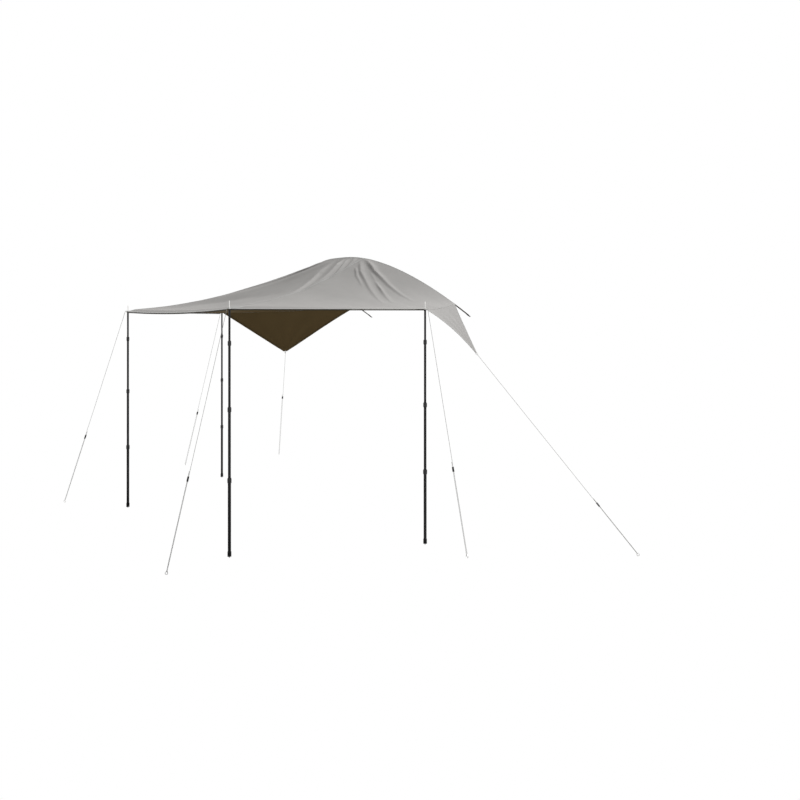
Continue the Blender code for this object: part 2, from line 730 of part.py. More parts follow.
def tensioner_mesh():
    """A rounded slider with two bores along Z, for the line and its return."""
    bm = bmesh.new()
    bmesh.ops.create_cube(bm, size=1, matrix=Matrix.Diagonal((*TENSIONER, 1)))
    long = [e for e in bm.edges if abs((e.verts[0].co - e.verts[1].co).z) > TENSIONER.z / 2]
    bmesh.ops.bevel(bm, geom=long, offset=TENSIONER_ROUND, segments=3, profile=0.5,
                    affect="EDGES", material=-1)
    body = cutter("tensioner_body", mesh_of(bm, "tensioner_body"), Matrix())
    for side in (-1, 1):
        bore = cylinder_mesh("bore", CORD_RADIUS + CORD_ROOM, 2 * TENSIONER.z, 12)
        place = Matrix.Translation((side * RETURN_OFFSET, 0, 0))
        boolean(body, cutter(f"tensioner_bore_{side}", bore, place), "DIFFERENCE")
    mesh = settled_mesh(body)
    mesh.materials.clear()
    mesh.materials.append(BLACK_PLASTIC)
    return mesh


RETURN_OFFSET = STAKE_WIRE + CORD_ROOM + CORD_RADIUS


def guy_line(name, stake, tensioner):
    """A line from a pole or a wing to its stake, with the tensioner on it."""
    across, inward = STAKE_OFFSETS[name]
    out = Vector((across, inward, 0)).normalized()
    aside = UP.cross(out)
    sign = 1 if name.endswith("right") else -1
    if name in POLES:
        start = Vector((*POLES[name], 0))
    else:
        start = Vector((sign * wing_tip(sign).x, wing_tip(sign).y, 0))
    ring = start + Vector((across, inward, STAKE_RING_RADIUS + STAKE_WIRE))
    if name in POLES:
        top, leave = spike_eye(start.x, start.y, out, aside, ring)
    else:
        top, leave = tip_eye(tip_hole(sign), ring, wing_normal(sign))
    line = (ring - leave).normalized()
    wire = ring - line * STAKE_RING_RADIUS
    if (top[-1] - leave).dot(aside) < 0:
        aside.negate()
    turn = arc(wire, aside, line, RETURN_OFFSET, 0, math.pi, 6)
    run = (turn[0] - top[-1]).normalized()
    back = LOOP_LENGTHS[name]
    end = turn[-1] - run * (back + TENSIONER.z / 2 + CORD_TAIL)
    cord(f"{name}_guy_line", top + turn + [end])
    place = axes_matrix(wire - run * back, aside, -run)
    add_object(f"{name}_tensioner", tensioner, None, place)
    shaft = UP * math.cos(STAKE_LEAN) + out * math.sin(STAKE_LEAN)
    add_object(f"{name}_stake", stake, None, axes_matrix(ring, out, shaft))
    if name not in POLES:
        hole = tip_hole(sign)
        to_ring = (ring - hole).normalized()
        mesh = ring_mesh(f"{name}_tip_ring", TIP_RING_RADIUS, TIP_RING_WIRE)
        middle = hole + to_ring * TIP_RING_RADIUS
        axis = to_ring.cross(wing_normal(sign))
        add_object(f"{name}_tip_ring", mesh, STEEL, axes_matrix(middle, to_ring, axis))


canopy()
for corner in POLES:
    corner_patch(corner, 1 if corner.endswith("right") else -1, corner.startswith("front"))
arch_band()
arch_clip("arch_clip_right", 1)
arch_clip("arch_clip_left", -1)
for corner, (pole_x, pole_y) in POLES.items():
    pole(corner, pole_x, pole_y)
STAKE = stake_mesh()
SLIDER = tensioner_mesh()
for line_name in STAKE_OFFSETS:
    guy_line(line_name, STAKE, SLIDER)

# From the layout's place on the ground to the origin on the band
ORIGIN = arch_point(math.pi / 2, BAND_OFFSET + BAND_WIDTH / 2) + ARCH_NORMAL * BAND / 2
for laid in AWNING.objects[:] + CUTTERS.objects[:]:
    laid.matrix_world = Matrix.Translation(-ORIGIN) @ laid.matrix_world
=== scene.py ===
"""Looks of the pitched rooftop tent awning: cloth, webbing, poles, cords and stakes."""

import math

import bmesh
import bpy
import numpy as np
from mathutils import Matrix, Vector


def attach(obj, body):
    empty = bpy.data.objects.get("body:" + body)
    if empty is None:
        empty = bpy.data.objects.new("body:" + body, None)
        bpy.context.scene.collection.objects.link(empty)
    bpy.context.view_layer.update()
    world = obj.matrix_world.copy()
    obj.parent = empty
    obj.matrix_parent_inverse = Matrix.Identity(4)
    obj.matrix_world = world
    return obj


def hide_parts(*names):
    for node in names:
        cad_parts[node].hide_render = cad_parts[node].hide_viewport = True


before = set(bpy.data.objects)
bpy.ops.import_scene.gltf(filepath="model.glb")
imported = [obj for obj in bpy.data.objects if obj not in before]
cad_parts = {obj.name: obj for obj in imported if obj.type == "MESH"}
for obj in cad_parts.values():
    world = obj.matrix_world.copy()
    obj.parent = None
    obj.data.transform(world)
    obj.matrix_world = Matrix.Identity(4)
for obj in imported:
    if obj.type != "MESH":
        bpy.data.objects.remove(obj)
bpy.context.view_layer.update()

UP = Vector((0, 0, 1))


# Viewpoint and studio
# The awning is seen from in front and from its right, a little below its corners. It stands on a
# pale floor, under a soft sun from behind and a dim, even sky.

ORIGIN = Vector((0, 0.474905, 2.782851))     # from the ground between the side poles to the arch's top
CAMERA_SPOT = Vector((7.168, -4.719, 2.046))     # from the same place on the ground
CAMERA_TURN = math.radians(49.57)
LENS = 34.29
LENS_SHIFT = -0.0973
SUN_STRENGTH = 4.6
SUN_WAY = Vector((-0.16, 0.64, 0.75))        # from the awning towards the sun
SUN_SPREAD = math.radians(5)
SKY_STRENGTH = 0.23
FLOOR_REACH = 70

camera = bpy.data.objects.new("camera", bpy.data.cameras.new("camera"))
bpy.context.scene.collection.objects.link(camera)
camera.data.sensor_width = 36
camera.data.lens = LENS
camera.data.shift_y = LENS_SHIFT
camera.data.clip_end = 200
camera.location = CAMERA_SPOT - ORIGIN
camera.rotation_euler = (math.radians(90), 0, CAMERA_TURN)
bpy.context.scene.camera = camera
bpy.context.scene.view_settings.view_transform = "Standard"

sun = bpy.data.objects.new("sun", bpy.data.lights.new("sun", "SUN"))
bpy.context.scene.collection.objects.link(sun)
sun.data.energy = SUN_STRENGTH
sun.data.angle = SUN_SPREAD
sun.rotation_euler = SUN_WAY.to_track_quat("Z", "Y").to_euler()


class Wire:
    """A shader socket that sums and products can be written with."""

    def __init__(self, finish, socket):
        self.finish = finish
        self.socket = socket

    def math(self, operation, first, second=0.0):
        return self.finish.node("ShaderNodeMath", {"operation": operation}, {0: first, 1: second})

    def __add__(self, other):
        return self.math("ADD", self, other)

    def __sub__(self, other):
        return self.math("SUBTRACT", self, other)

    def __rsub__(self, other):
        return self.math("SUBTRACT", other, self)

    def __mul__(self, other):
        return self.math("MULTIPLY", self, other)

    def __gt__(self, other):
        return self.math("GREATER_THAN", self, other)

    def __lt__(self, other):
        return self.math("LESS_THAN", self, other)

    __radd__ = __add__

    def sine(self):
        return self.math("SINE", self)

    def clamped(self):
        return self.finish.node("ShaderNodeClamp", {}, {0: self})


class Finish:
    """A material and its nodes."""

    def __init__(self, tree):
        self.tree = tree
        self.shader = tree.nodes.get("Principled BSDF")

    def node(self, kind, settings, sockets, output=0):
        """A node with its settings, and with its sockets linked or set, as the wire from one output."""
        made = self.tree.nodes.new(kind)
        for key, value in settings.items():
            setattr(made, key, value)
        for key, value in sockets.items():
            if isinstance(value, Wire):
                self.tree.links.new(value.socket, made.inputs[key])
            else:
                made.inputs[key].default_value = value
        return Wire(self, made.outputs[output])

    def place(self):
        """A point's place in the awning's frame."""
        return self.node("ShaderNodeTexCoord", {}, {}, "Object")

    def axis(self, vector, number):
        return self.node("ShaderNodeSeparateXYZ", {}, {0: vector}, number)

    def noise(self, vector, scale, detail=3.0, stretch=(1, 1, 1)):
        """Noise, coarser along the axes that the stretch makes less of."""
        if stretch != (1, 1, 1):
            vector = self.node("ShaderNodeMapping", {}, {0: vector, 3: stretch})
        return self.node("ShaderNodeTexNoise", {}, {"Vector": vector, "Scale": scale, "Detail": detail})

    def mixed(self, share, first, second):
        """A colour between two."""
        pair = {}
        for key, value in ((6, first), (7, second)):
            pair[key] = value if isinstance(value, Wire) else (*value, 1)
        return self.node("ShaderNodeMix", {"data_type": "RGBA"}, {0: share, **pair}, 2)

    def bump(self, height, strength, distance):
        values = {"Height": height, "Strength": strength, "Distance": distance}
        return self.node("ShaderNodeBump", {}, values)

    def set(self, **values):
        """Links or sets sockets of the shader: words are joined with an underscore."""
        for key, value in values.items():
            socket = self.shader.inputs[key.replace("_", " ")]
            if isinstance(value, Wire):
                self.tree.links.new(value.socket, socket)
            else:
                socket.default_value = value


def new_finish(name):
    """A new material, and the finish that writes its nodes."""
    made = bpy.data.materials.new(name)
    made.use_nodes = True
    return made, Finish(made.node_tree)


world = bpy.data.worlds.new("sky")
bpy.context.scene.world = world
world.use_nodes = True
sky = Finish(world.node_tree)
seen = sky.node("ShaderNodeLightPath", {}, {}, "Is Camera Ray")
mirrored = sky.node("ShaderNodeLightPath", {}, {}, "Is Glossy Ray")
passed = sky.node("ShaderNodeLightPath", {}, {}, "Is Transmission Ray")
share = (seen + mirrored + passed).clamped()
background = world.node_tree.nodes["Background"]
background.inputs["Color"].default_value = (1, 1, 1, 1)
brightness = share * (1 - SKY_STRENGTH) + SKY_STRENGTH
world.node_tree.links.new(brightness.socket, background.inputs["Strength"])

bm = bmesh.new()
bmesh.ops.create_grid(bm, x_segments=1, y_segments=1, size=FLOOR_REACH)
bmesh.ops.translate(bm, verts=bm.verts, vec=(0, 0, -ORIGIN.z))
mesh = bpy.data.meshes.new("floor")
bm.to_mesh(mesh)
bm.free()
floor = bpy.data.objects.new("floor", mesh)
bpy.context.scene.collection.objects.link(floor)
floor_material, floor_finish = new_finish("floor")
floor_finish.set(Roughness=0.9)
seen = floor_finish.node("ShaderNodeLightPath", {}, {}, "Is Camera Ray")
floor_finish.set(Base_Color=floor_finish.mixed(seen, (0.55, 0.55, 0.55), (0, 0, 0)))
floor_finish.set(Specular_IOR_Level=0.0, Emission_Color=(1, 1, 1, 1), Emission_Strength=seen * 1.0)
floor.data.materials.append(floor_material)


# Guy lines
# Six braided polyester lines, 3.5 mm thick. Each has an eye, bound with thread, round a pole's
# spike or through a wing's ring. It runs straight to a stake's ring and back up to its tensioner.

CORD_RADIUS = 0.00175
CORD_ROOM = 0.0005       # round a cord in a hole or on a rod
GAP = 0.0003             # between pieces that lie on each other
EYELET_HEIGHT = 2.16
EYELET_THICK = 0.007
SPIKE_RADIUS = 0.004
STAKE_RING_RADIUS = 0.0115
STAKE_WIRE = 0.0022
TIP_RING_RADIUS = 0.011
TIP_RING_WIRE = 0.0015
RETURN_OFFSET = STAKE_WIRE + CORD_ROOM + CORD_RADIUS
TENSIONER_LENGTH = 0.042
EYE_TURN = math.radians(275)
EYE_END = 0.030          # from a wing's eye to the line's short end
BEND_FROM = 0.022        # from a spike to where the line bends down
BEND_RADIUS = 0.008
LINE_TAIL = 0.045        # past the tensioner
WHIPPING_TURNS = 10
WHIPPING_PITCH = 0.0013
WHIPPING_THREAD = 0.0004
WHIPPING_FROM_SPIKE = 0.0125
WHIPPING_FROM_RING = 0.016
POLES = {
    "front_left": Vector((-1.17, -1.555, 0)),
    "front_right": Vector((1.17, -1.555, 0)),
    "side_left": Vector((-1.985, 0, 0)),
    "side_right": Vector((1.985, 0, 0)),
}
STAKE_OFFSETS = {        # on the ground, from the pole's foot or from below the wing's point
    "front_left": (-0.72, -0.45),
    "front_right": (0.07, -0.60),
    "side_left": (-1.15, 0.02),
    "side_right": (0.53, 0.01),
    "wing_left": (-1.307, 0.702),
    "wing_right": (1.629, 0.319),
}
LOOP_LENGTHS = {         # from the stake's ring up to the tensioner
    "front_left": 0.785,
    "front_right": 0.745,
    "side_left": 0.852,
    "side_right": 0.739,
    "wing_left": 1.273,
    "wing_right": 0.520,
}
WING_TIPS = {            # right and left, both laid out on the right
    1: Vector((1.815, 0.871, EYELET_HEIGHT - 0.444)),
    -1: Vector((1.704, 0.795, EYELET_HEIGHT - 0.523)),
}
ARCH_END = math.radians(24.5)        # where the canopy's edge ends on the arch
ARCH_RIDGE = math.radians(74.4)      # where the seam from a front pole meets it
ARCH_FOOT = Vector((0, 1.79, EYELET_HEIGHT - 0.11))
ARCH_TOP = Vector((0, 0.46, EYELET_HEIGHT + 0.63))
ARCH_UP = (ARCH_TOP - ARCH_FOOT).normalized()
ARCH_LENGTH = (ARCH_TOP - ARCH_FOOT).length
ARCH_NORMAL = Vector((1, 0, 0)).cross(-ARCH_UP).normalized()
ARCH_HALF_WIDTH = 0.94
ARCH_SQUARENESS = 2.8
CLOTH = 0.0015
PATCH = 0.002
CORNER_HEIGHT = EYELET_HEIGHT + GAP + EYELET_THICK / 2 + PATCH / 2 + GAP + CLOTH / 2
CORNER_REACH = 0.024     # how far the hem's corners run on past the poles
FLAT_FROM = 0.955        # share of a run past which the hem lies flat
FRONT_EDGE_BOW = 0.035   # how far the front hem curves inwards
FRONT_EDGE_DROP = 0.024
SIDE_EDGE_BOW = 0.020
WING_EDGE_BOW = 0.020
WING_START = 0.022       # share of the seam that is left free next to the pole
TIP_HOLE_FROM = 0.024    # from the wing's point to its hole
HANG_FRONT = 0.137       # how far the cloth hangs under a straight line to the arch
HANG_RIDGE = 0.085
HANG_SIDE = 0.020
HANG_POWER = 1.2
HANG_PEAK = (6 / 11) ** HANG_POWER * (5 / 11)


def arch(angle):
    """Points of the arched edge, for an array of angles from its right foot."""
    c, s = np.cos(angle), np.sin(angle)
    power = ARCH_SQUARENESS
    reach = (np.abs(c / ARCH_HALF_WIDTH) ** power + np.abs(s / ARCH_LENGTH) ** power) ** (-1 / power)
    level = (reach * c)[..., None] * np.array((1, 0, 0))
    return np.array(ARCH_FOOT) + level + (reach * s)[..., None] * np.array(ARCH_UP)


def bow(share):
    """A curve that is 0 at both ends and 1 in the middle."""
    return 4 * share * (1 - share)


def hem_corner(pole, angle):
    """The hem's corner past a pole, on the run from the arch at this angle."""
    point = Vector((pole.x, pole.y, CORNER_HEIGHT))
    inner = Vector(arch(np.array(angle)))
    return point + (point - inner).normalized() * CORNER_REACH


SIDE_CORNER = hem_corner(POLES["side_right"], ARCH_END)
FRONT_CORNER = hem_corner(POLES["front_right"], ARCH_RIDGE)


def outer_hem(angle):
    """Points of the outer hem, from the right side pole to the front hem."""
    share = ((angle - ARCH_END) / (ARCH_RIDGE - ARCH_END))[..., None]
    inward = np.array((SIDE_CORNER - FRONT_CORNER).normalized().cross(UP))
    side = np.array(SIDE_CORNER) + (np.array(FRONT_CORNER) - np.array(SIDE_CORNER)) * share
    side = side - SIDE_EDGE_BOW * bow(share) * inward
    share = (angle - ARCH_RIDGE) / (math.pi - 2 * ARCH_RIDGE)
    front = np.stack([
        FRONT_CORNER.x * (1 - 2 * share),
        FRONT_CORNER.y + FRONT_EDGE_BOW * bow(share),
        FRONT_CORNER.z - FRONT_EDGE_DROP * bow(share),
    ], -1)
    return np.where((angle < ARCH_RIDGE)[..., None], side, front)


def smooth_canopy(angle, run):
    """Points of the canopy without its folds: run is 0 on the arch and 1 on the outer hem."""
    share = (angle - ARCH_END) / (ARCH_RIDGE - ARCH_END)
    side = HANG_SIDE + (HANG_RIDGE - HANG_SIDE) * share
    share = (angle - ARCH_RIDGE) / (math.pi - 2 * ARCH_RIDGE)
    hang = np.where(angle < ARCH_RIDGE, side, HANG_RIDGE + (HANG_FRONT - HANG_RIDGE) * bow(share))
    along = np.clip(run / FLAT_FROM, 0, 1)
    hang = hang * along ** HANG_POWER * (1 - along) / HANG_PEAK
    inner, outer = arch(angle), outer_hem(angle)
    return inner + (outer - inner) * run[..., None] - hang[..., None] * np.array(UP)


def wing_corner(across, down, sign):
    """Points of a side wing: across goes from the pole to the arch, and down to the tip."""
    narrowed = across * (1 - WING_EDGE_BOW * bow(down))
    top = smooth_canopy(np.full_like(narrowed, ARCH_END), (1 - WING_START) * (1 - narrowed))
    point = top + (np.array(WING_TIPS[sign]) - top) * down[..., None]
    return point * np.array((sign, 1, 1))


def wing_depth(sign):
    """From the middle of the wing's seam to its point."""
    middle = smooth_canopy(np.array(ARCH_END), np.array(0.5))
    return (WING_TIPS[sign] - Vector(middle)).length


def wing_spot(across, down, sign):
    return Vector(wing_corner(np.array(float(across)), np.array(float(down)), sign))


def wing_normal(sign):
    corner, inner, tip = wing_spot(0, 0, sign), wing_spot(1, 0, sign), wing_spot(0, 1, sign)
    return (inner - corner).cross(tip - corner).normalized() * -sign


def tip_hole(sign):
    return wing_spot(0.5, 1 - TIP_HOLE_FROM / wing_depth(sign), sign)


def arc(centre, along, across, radius, start, end, steps):
    angles = [start + (end - start) * i / steps for i in range(steps + 1)]
    return [centre + radius * (along * math.cos(a) + across * math.sin(a)) for a in angles]


def guy_line(name):
    """The line's route, laid out from the ground, and the point where it leaves the awning."""
    out = Vector((*STAKE_OFFSETS[name], 0)).normalized()
    aside = UP.cross(out)
    sign = 1 if name.endswith("right") else -1
    if name in POLES:
        start = POLES[name]
    else:
        start = Vector((sign * WING_TIPS[sign].x, WING_TIPS[sign].y, 0))
    ring = start + Vector((*STAKE_OFFSETS[name], STAKE_RING_RADIUS + STAKE_WIRE))
    if name in POLES:
        level = EYELET_HEIGHT + GAP + EYELET_THICK + GAP + CORD_RADIUS
        centre = Vector((start.x, start.y, level))
        turn = SPIKE_RADIUS + CORD_ROOM + CORD_RADIUS
        eye = arc(centre, aside, out, turn, -EYE_TURN, 0, 20)
        bend_centre = centre + out * BEND_FROM - UP * BEND_RADIUS
        slope = math.pi / 4
        for _ in range(8):
            leave = bend_centre + BEND_RADIUS * (out * math.sin(slope) + UP * math.cos(slope))
            line = ring - leave
            slope = math.atan2(-line.z, line.dot(out))
        top = eye + arc(bend_centre + aside * turn, UP, out, BEND_RADIUS, 0, slope, 8)
    else:
        hole = tip_hole(sign)
        line = (ring - hole).normalized()
        beside = line.cross(wing_normal(sign)).normalized()
        if beside.dot(line.cross(UP)) < 0:
            beside.negate()
        leave = hole + line * 2 * TIP_RING_RADIUS
        eye = arc(leave, -beside, -line, TIP_RING_WIRE + CORD_ROOM + CORD_RADIUS, 0, math.pi, 12)
        top = [eye[0] + line * EYE_END] + eye
    line = (ring - leave).normalized()
    wire = ring - line * STAKE_RING_RADIUS
    if (top[-1] - leave).dot(aside) < 0:
        aside.negate()
    turn = arc(wire, aside, line, RETURN_OFFSET, 0, math.pi, 12)
    run = (turn[0] - top[-1]).normalized()
    end = turn[-1] - run * (LOOP_LENGTHS[name] + TENSIONER_LENGTH / 2 + LINE_TAIL)
    return [point - ORIGIN for point in top + turn + [end]], leave - ORIGIN


cord_material, cord_finish = new_finish("braided_cord")
place = cord_finish.place()
braid = cord_finish.node("ShaderNodeTexVoronoi", {"feature": "F1"}, {"Vector": place, "Scale": 700.0})
flecks = cord_finish.noise(place, 180.0) > 0.62
cord_finish.set(Base_Color=cord_finish.mixed(flecks * 0.5, (0.46, 0.46, 0.44), (0.30, 0.30, 0.29)))
cord_finish.set(Roughness=0.75, Sheen_Weight=0.3, Normal=cord_finish.bump(braid, 0.5, 0.0004))


def whipping(name, middle, along, across, reach):
    """Turns of thread that bind a line's end to the line beside it."""
    turns, pitch, thick = WHIPPING_TURNS, WHIPPING_PITCH, CORD_RADIUS + WHIPPING_THREAD
    profile = [(0, -turns * pitch / 2)]
    for i in range(4 * turns + 1):
        profile.append((1 + 0.1 * abs(math.sin(i * math.pi / 4)), (i / 4 - turns / 2) * pitch))
    profile.append((0, turns * pitch / 2))
    bm = bmesh.new()
    knots = [bm.verts.new((r, 0, z)) for r, z in profile]
    edges = [bm.edges.new(pair) for pair in zip(knots, knots[1:])]
    bmesh.ops.spin(bm, geom=knots + edges, axis=UP, cent=(0, 0, 0), steps=24, angle=2 * math.pi,
                   use_merge=True)
    bmesh.ops.remove_doubles(bm, verts=bm.verts, dist=0.00001)
    turned = Matrix((across * (reach + thick), along.cross(across) * thick, along)).transposed().to_4x4()
    bmesh.ops.transform(bm, verts=bm.verts, matrix=Matrix.Translation(middle) @ turned)
    bmesh.ops.recalc_face_normals(bm, faces=bm.faces)
    made = bpy.data.objects.new(f"{name}_whipping", bpy.data.meshes.new(f"{name}_whipping"))
    bm.to_mesh(made.data)
    bm.free()
    made.data.materials.append(cord_material)
    made.data.shade_smooth()
    bpy.context.scene.collection.objects.link(made)
    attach(made, "canopy")
    return made


for name in STAKE_OFFSETS:
    route, leave = guy_line(name)
    if name in POLES:
        half = (SPIKE_RADIUS + CORD_ROOM + CORD_RADIUS) / 2
        start = POLES[name] - ORIGIN
        out = Vector((*STAKE_OFFSETS[name], 0)).normalized()
        middle = Vector((start.x, start.y, route[0].z)) + out * WHIPPING_FROM_SPIKE
        middle = middle + UP.cross(out) * half
        bound = whipping(name, middle, out, UP.cross(out), half)
    else:
        along, across = (route[0] - route[1]).normalized(), (route[1] - leave).normalized()
        middle = leave + along * WHIPPING_FROM_RING
        bound = whipping(name, middle, along, across, (route[1] - leave).length)
    curve = bpy.data.curves.new(f"{name}_line", "CURVE")
    curve.dimensions = "3D"
    curve.bevel_depth = CORD_RADIUS
    curve.bevel_resolution = 3
    curve.use_fill_caps = True
    spline = curve.splines.new("POLY")
    spline.points.add(len(route) - 1)
    for knot, point in zip(spline.points, route):
        knot.co = (*point, 1)
    curve.materials.append(cord_material)
    line = bpy.data.objects.new(f"{name}_line", curve)
    bpy.context.scene.collection.objects.link(line)
    length = sum((b - a).length for a, b in zip(route, route[1:]))
    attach(line, "canopy")
    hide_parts(f"{name}_guy_line")


SMOOTH_BELOW = math.radians(35)


def dress(node, material):
    """Gives a CAD node its material, and shades its round faces smooth."""
    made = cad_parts[node]
    made.data.materials.clear()
    made.data.materials.append(material)
    made.data.shade_smooth()
    made.data.set_sharp_from_angle(angle=SMOOTH_BELOW)


# Tensioners
# Moulded black nylon sliders, 42 mm long, with two bores: one for the line and one for its return.

moulded_material, moulded = new_finish("moulded_nylon")
place = moulded.place()
grain = moulded.noise(place, 900.0, 2.0)
scuffs = moulded.noise(place, 60.0, 5.0) > 0.66
moulded.set(Base_Color=moulded.mixed(scuffs * 0.35, (0.016, 0.016, 0.017), (0.06, 0.06, 0.06)))
moulded.set(Roughness=0.42 + grain * 0.2, Normal=moulded.bump(grain, 0.15, 0.0003))
for name in STAKE_OFFSETS:
    dress(f"{name}_tensioner", moulded_material)


# Stakes
# Round steel pins, 7 mm thick and 0.2 m long, driven into the ground at a slant, with a wire ring
# on top. They are zinc plated, and scratched towards the point.

stake_material, stake_finish = new_finish("plated_steel")
place = stake_finish.place()
spangle = stake_finish.noise(place, 260.0, 4.0)
stake_finish.set(Base_Color=stake_finish.mixed(spangle, (0.46, 0.46, 0.45), (0.70, 0.70, 0.68)))
stake_finish.set(Metallic=0.9, Roughness=0.28 + spangle * 0.2)
stake_finish.set(Normal=stake_finish.bump(spangle, 0.1, 0.0004))
for name in STAKE_OFFSETS:
    dress(f"{name}_stake", stake_material)


# Pole tubes
# Aluminium tubes with a black satin coat, each sliding in the one below. The highest ends in a
# shoulder under a bright steel spike, and the lowest in a rubber foot over a dulled steel pin.

SPIKE_FROM = 0.0005      # over the shoulder
PIN_TO = 0.0115
FOOT_TO = 0.058
DULL_BELOW = 0.1

tube_material, tube = new_finish("coated_tube")
place = tube.place()
height = tube.axis(place, 2)
bare = ((height > EYELET_HEIGHT - ORIGIN.z + SPIKE_FROM) + (height < PIN_TO - ORIGIN.z)).clamped()
rubber = (height < FOOT_TO - ORIGIN.z) * (1 - bare)
streaks = tube.noise(place, 40.0, 4.0, (1, 1, 0.08))
rubbed = (streaks - 0.5) * 0.2 + 0.15
coat = tube.mixed(rubbed.clamped(), (0.006, 0.006, 0.0065), (0.022, 0.022, 0.021))
coat = tube.mixed(rubber, coat, (0.007, 0.007, 0.007))
metal = tube.mixed(height < DULL_BELOW - ORIGIN.z, (0.86, 0.85, 0.83), (0.42, 0.42, 0.41))
tube.set(Base_Color=tube.mixed(bare, coat, metal))
tube.set(Metallic=bare * 0.9 + 0.05)
tube.set(Roughness=0.34 + streaks * 0.14 + rubber * 0.35 - bare * 0.08)
tube.set(Normal=tube.bump(tube.noise(place, 600.0, 1.0), 0.03, 0.0001), Specular_IOR_Level=0.3)
for name in POLES:
    for piece in ("base_tube", "second_tube", "third_tube", "top_tube"):
        dress(f"{name}_{piece}", tube_material)


# Twist collars
# Fluted nylon collars that clamp one tube in the next when they are turned.

for name in POLES:
    for level in ("lower", "middle", "upper"):
        dress(f"{name}_{level}_collar", moulded_material)


# Canopy
# Three panels of grey polycotton canvas, sewn together along two ridges from the front poles to
# the arch, and coated below in dark brown, darkened further as painted shade under the canopy.
# The pull between the arch's knees and the poles lays long creases across the side panels and
# pleats across the front panel.

FOLDS = (        # points of (degrees from the arch's right foot, run), half width left and right, height
    (((71.8, 0.13), (66.5, 0.240), (61.9, 0.320), (59.0, 0.380)), 0.018, 0.012, 0.016),
    (((74.0, 0.04), (67.5, 0.180), (56.4, 0.380), (43.4, 0.640)), 0.036, 0.018, 0.023),
    (((73.5, 0.01), (63.4, 0.140), (53.9, 0.250), (45.4, 0.345), (37.0, 0.435)), 0.045, 0.024, 0.032),
    (((58.9, 0.250), (41.9, 0.580)), 0.030, 0.016, 0.018),
    (((66.0, 0.130), (48.0, 0.470)), 0.014, 0.014, 0.005),
    (((56.0, 0.310), (44.0, 0.500)), 0.014, 0.014, 0.005),
    (((89.3, 0.03), (82.8, 0.240), (78.3, 0.410), (75.0, 0.570), (74.6, 0.720)), 0.030, 0.080, 0.046),
    (((83.8, 0.03), (76.8, 0.280), (75.2, 0.370), (74.5, 0.480)), 0.036, 0.013, 0.052),
    (((81.0, 0.03), (74.9, 0.240), (74.3, 0.300)), 0.028, 0.012, 0.034),
    (((77.6, 0.02), (74.6, 0.170)), 0.022, 0.010, 0.024),
    (((74.4, 0.22), (74.4, 0.90)), 0.022, 0.012, -0.010),
)
HEM_FOLD = (     # a shallow valley beside the front hem
    ((100.2, 0.91), (102.2, 0.81), (102.2, 0.68), (99.7, 0.61), (96.2, 0.52), (86.3, 0.48), (76.0, 0.50)),
    0.150, 0.150, -0.020,
)
HEM_FLAT = 8             # how soon the valley ends before the hem
FAR_FOLDS_LOWER = 0.75   # share by which the left half's folds are lower
FAR_FROM, FAR_OVER = 84, 18
GATHER = 0.0022          # small gathers where the ridge's seam meets the arch
GATHER_RUN = 0.05
SLACK = 0.0014
CREST_HIGHLIGHT_HEIGHT = 0.024            # a fold's height at which its crest gets the strongest painted highlight
PUNCH_DEPTH = 0.04
CANVAS_THREAD = 0.0011
EYELET_CUT = 0.0095


def fold(spot, path, left_width, right_width, height):
    """Height of one fold, a rounded ridge over a path that is straight from point to point."""
    knots = [smooth_canopy(np.array(math.radians(degrees)), np.array(run))[:2] for degrees, run in path]
    lengths = [np.linalg.norm(b - a) for a, b in zip(knots, knots[1:])]
    aside, along, done = np.full(spot.shape[:-1], 9.0), np.zeros(spot.shape[:-1]), 0.0
    width = np.full(spot.shape[:-1], left_width)
    for first, second, length in zip(knots, knots[1:], lengths):
        way, rest = second - first, spot - first
        share = np.clip(rest @ way / length ** 2, 0, 1)
        reach = np.linalg.norm(rest - share[..., None] * way, axis=-1)
        left = way[0] * rest[..., 1] > way[1] * rest[..., 0]
        along = np.where(reach < aside, (done + share * length) / sum(lengths), along)
        width = np.where(reach < aside, np.where(left, left_width, right_width), width)
        aside = np.minimum(aside, reach)
        done += length
    near = np.sqrt((aside / width) ** 2 + 0.06) - 0.245
    fade = np.clip(along * 4, 0, 1) * (1 - along) ** 0.8
    return height * fade * (0.6 * np.exp(-near ** 2) + 0.4 * np.exp(-2.2 * near))


def folds(angle, run, sign=1):
    """Height of all the folds. Those of the left half mirror the right ones, and are lower."""
    near = np.minimum(angle, math.pi - angle)
    whole = angle if sign > 0 else math.pi - angle
    spot = smooth_canopy(near, run)[..., :2]
    x, y = spot[..., 0], spot[..., 1]
    lower = 1 - FAR_FOLDS_LOWER * np.clip((np.degrees(whole) - FAR_FROM) / FAR_OVER, 0, 1)
    height = sum(fold(spot, *one) for one in FOLDS) * lower
    spot = np.stack([np.where(whole > math.pi / 2, -x, x), y], -1)
    height = height + fold(spot, *HEM_FOLD) * np.clip((FLAT_FROM - run) * HEM_FLAT, 0, 1)
    gathers = GATHER * np.sin(near * 150) * (run / GATHER_RUN) * np.exp(1 - run / GATHER_RUN)
    waves = np.sin(7.3 * x + 3.1 * y + 1.0) + np.sin(4.1 * x - 8.7 * y + 2.2)
    slack = SLACK * (waves + 0.7 * np.sin(13.0 * x + 9.0 * y))
    slack = slack * np.clip(run * 5, 0, 1) * np.clip((0.93 - run) * 6, 0, 1)
    return height + gathers * np.exp(-((near - ARCH_RIDGE) / 0.12) ** 2) + slack


def canopy(angle, run, sign=1):
    """Points of the canopy with its folds, laid out on the right."""
    return smooth_canopy(angle, run) + folds(angle, run, sign)[..., None] * np.array(UP)


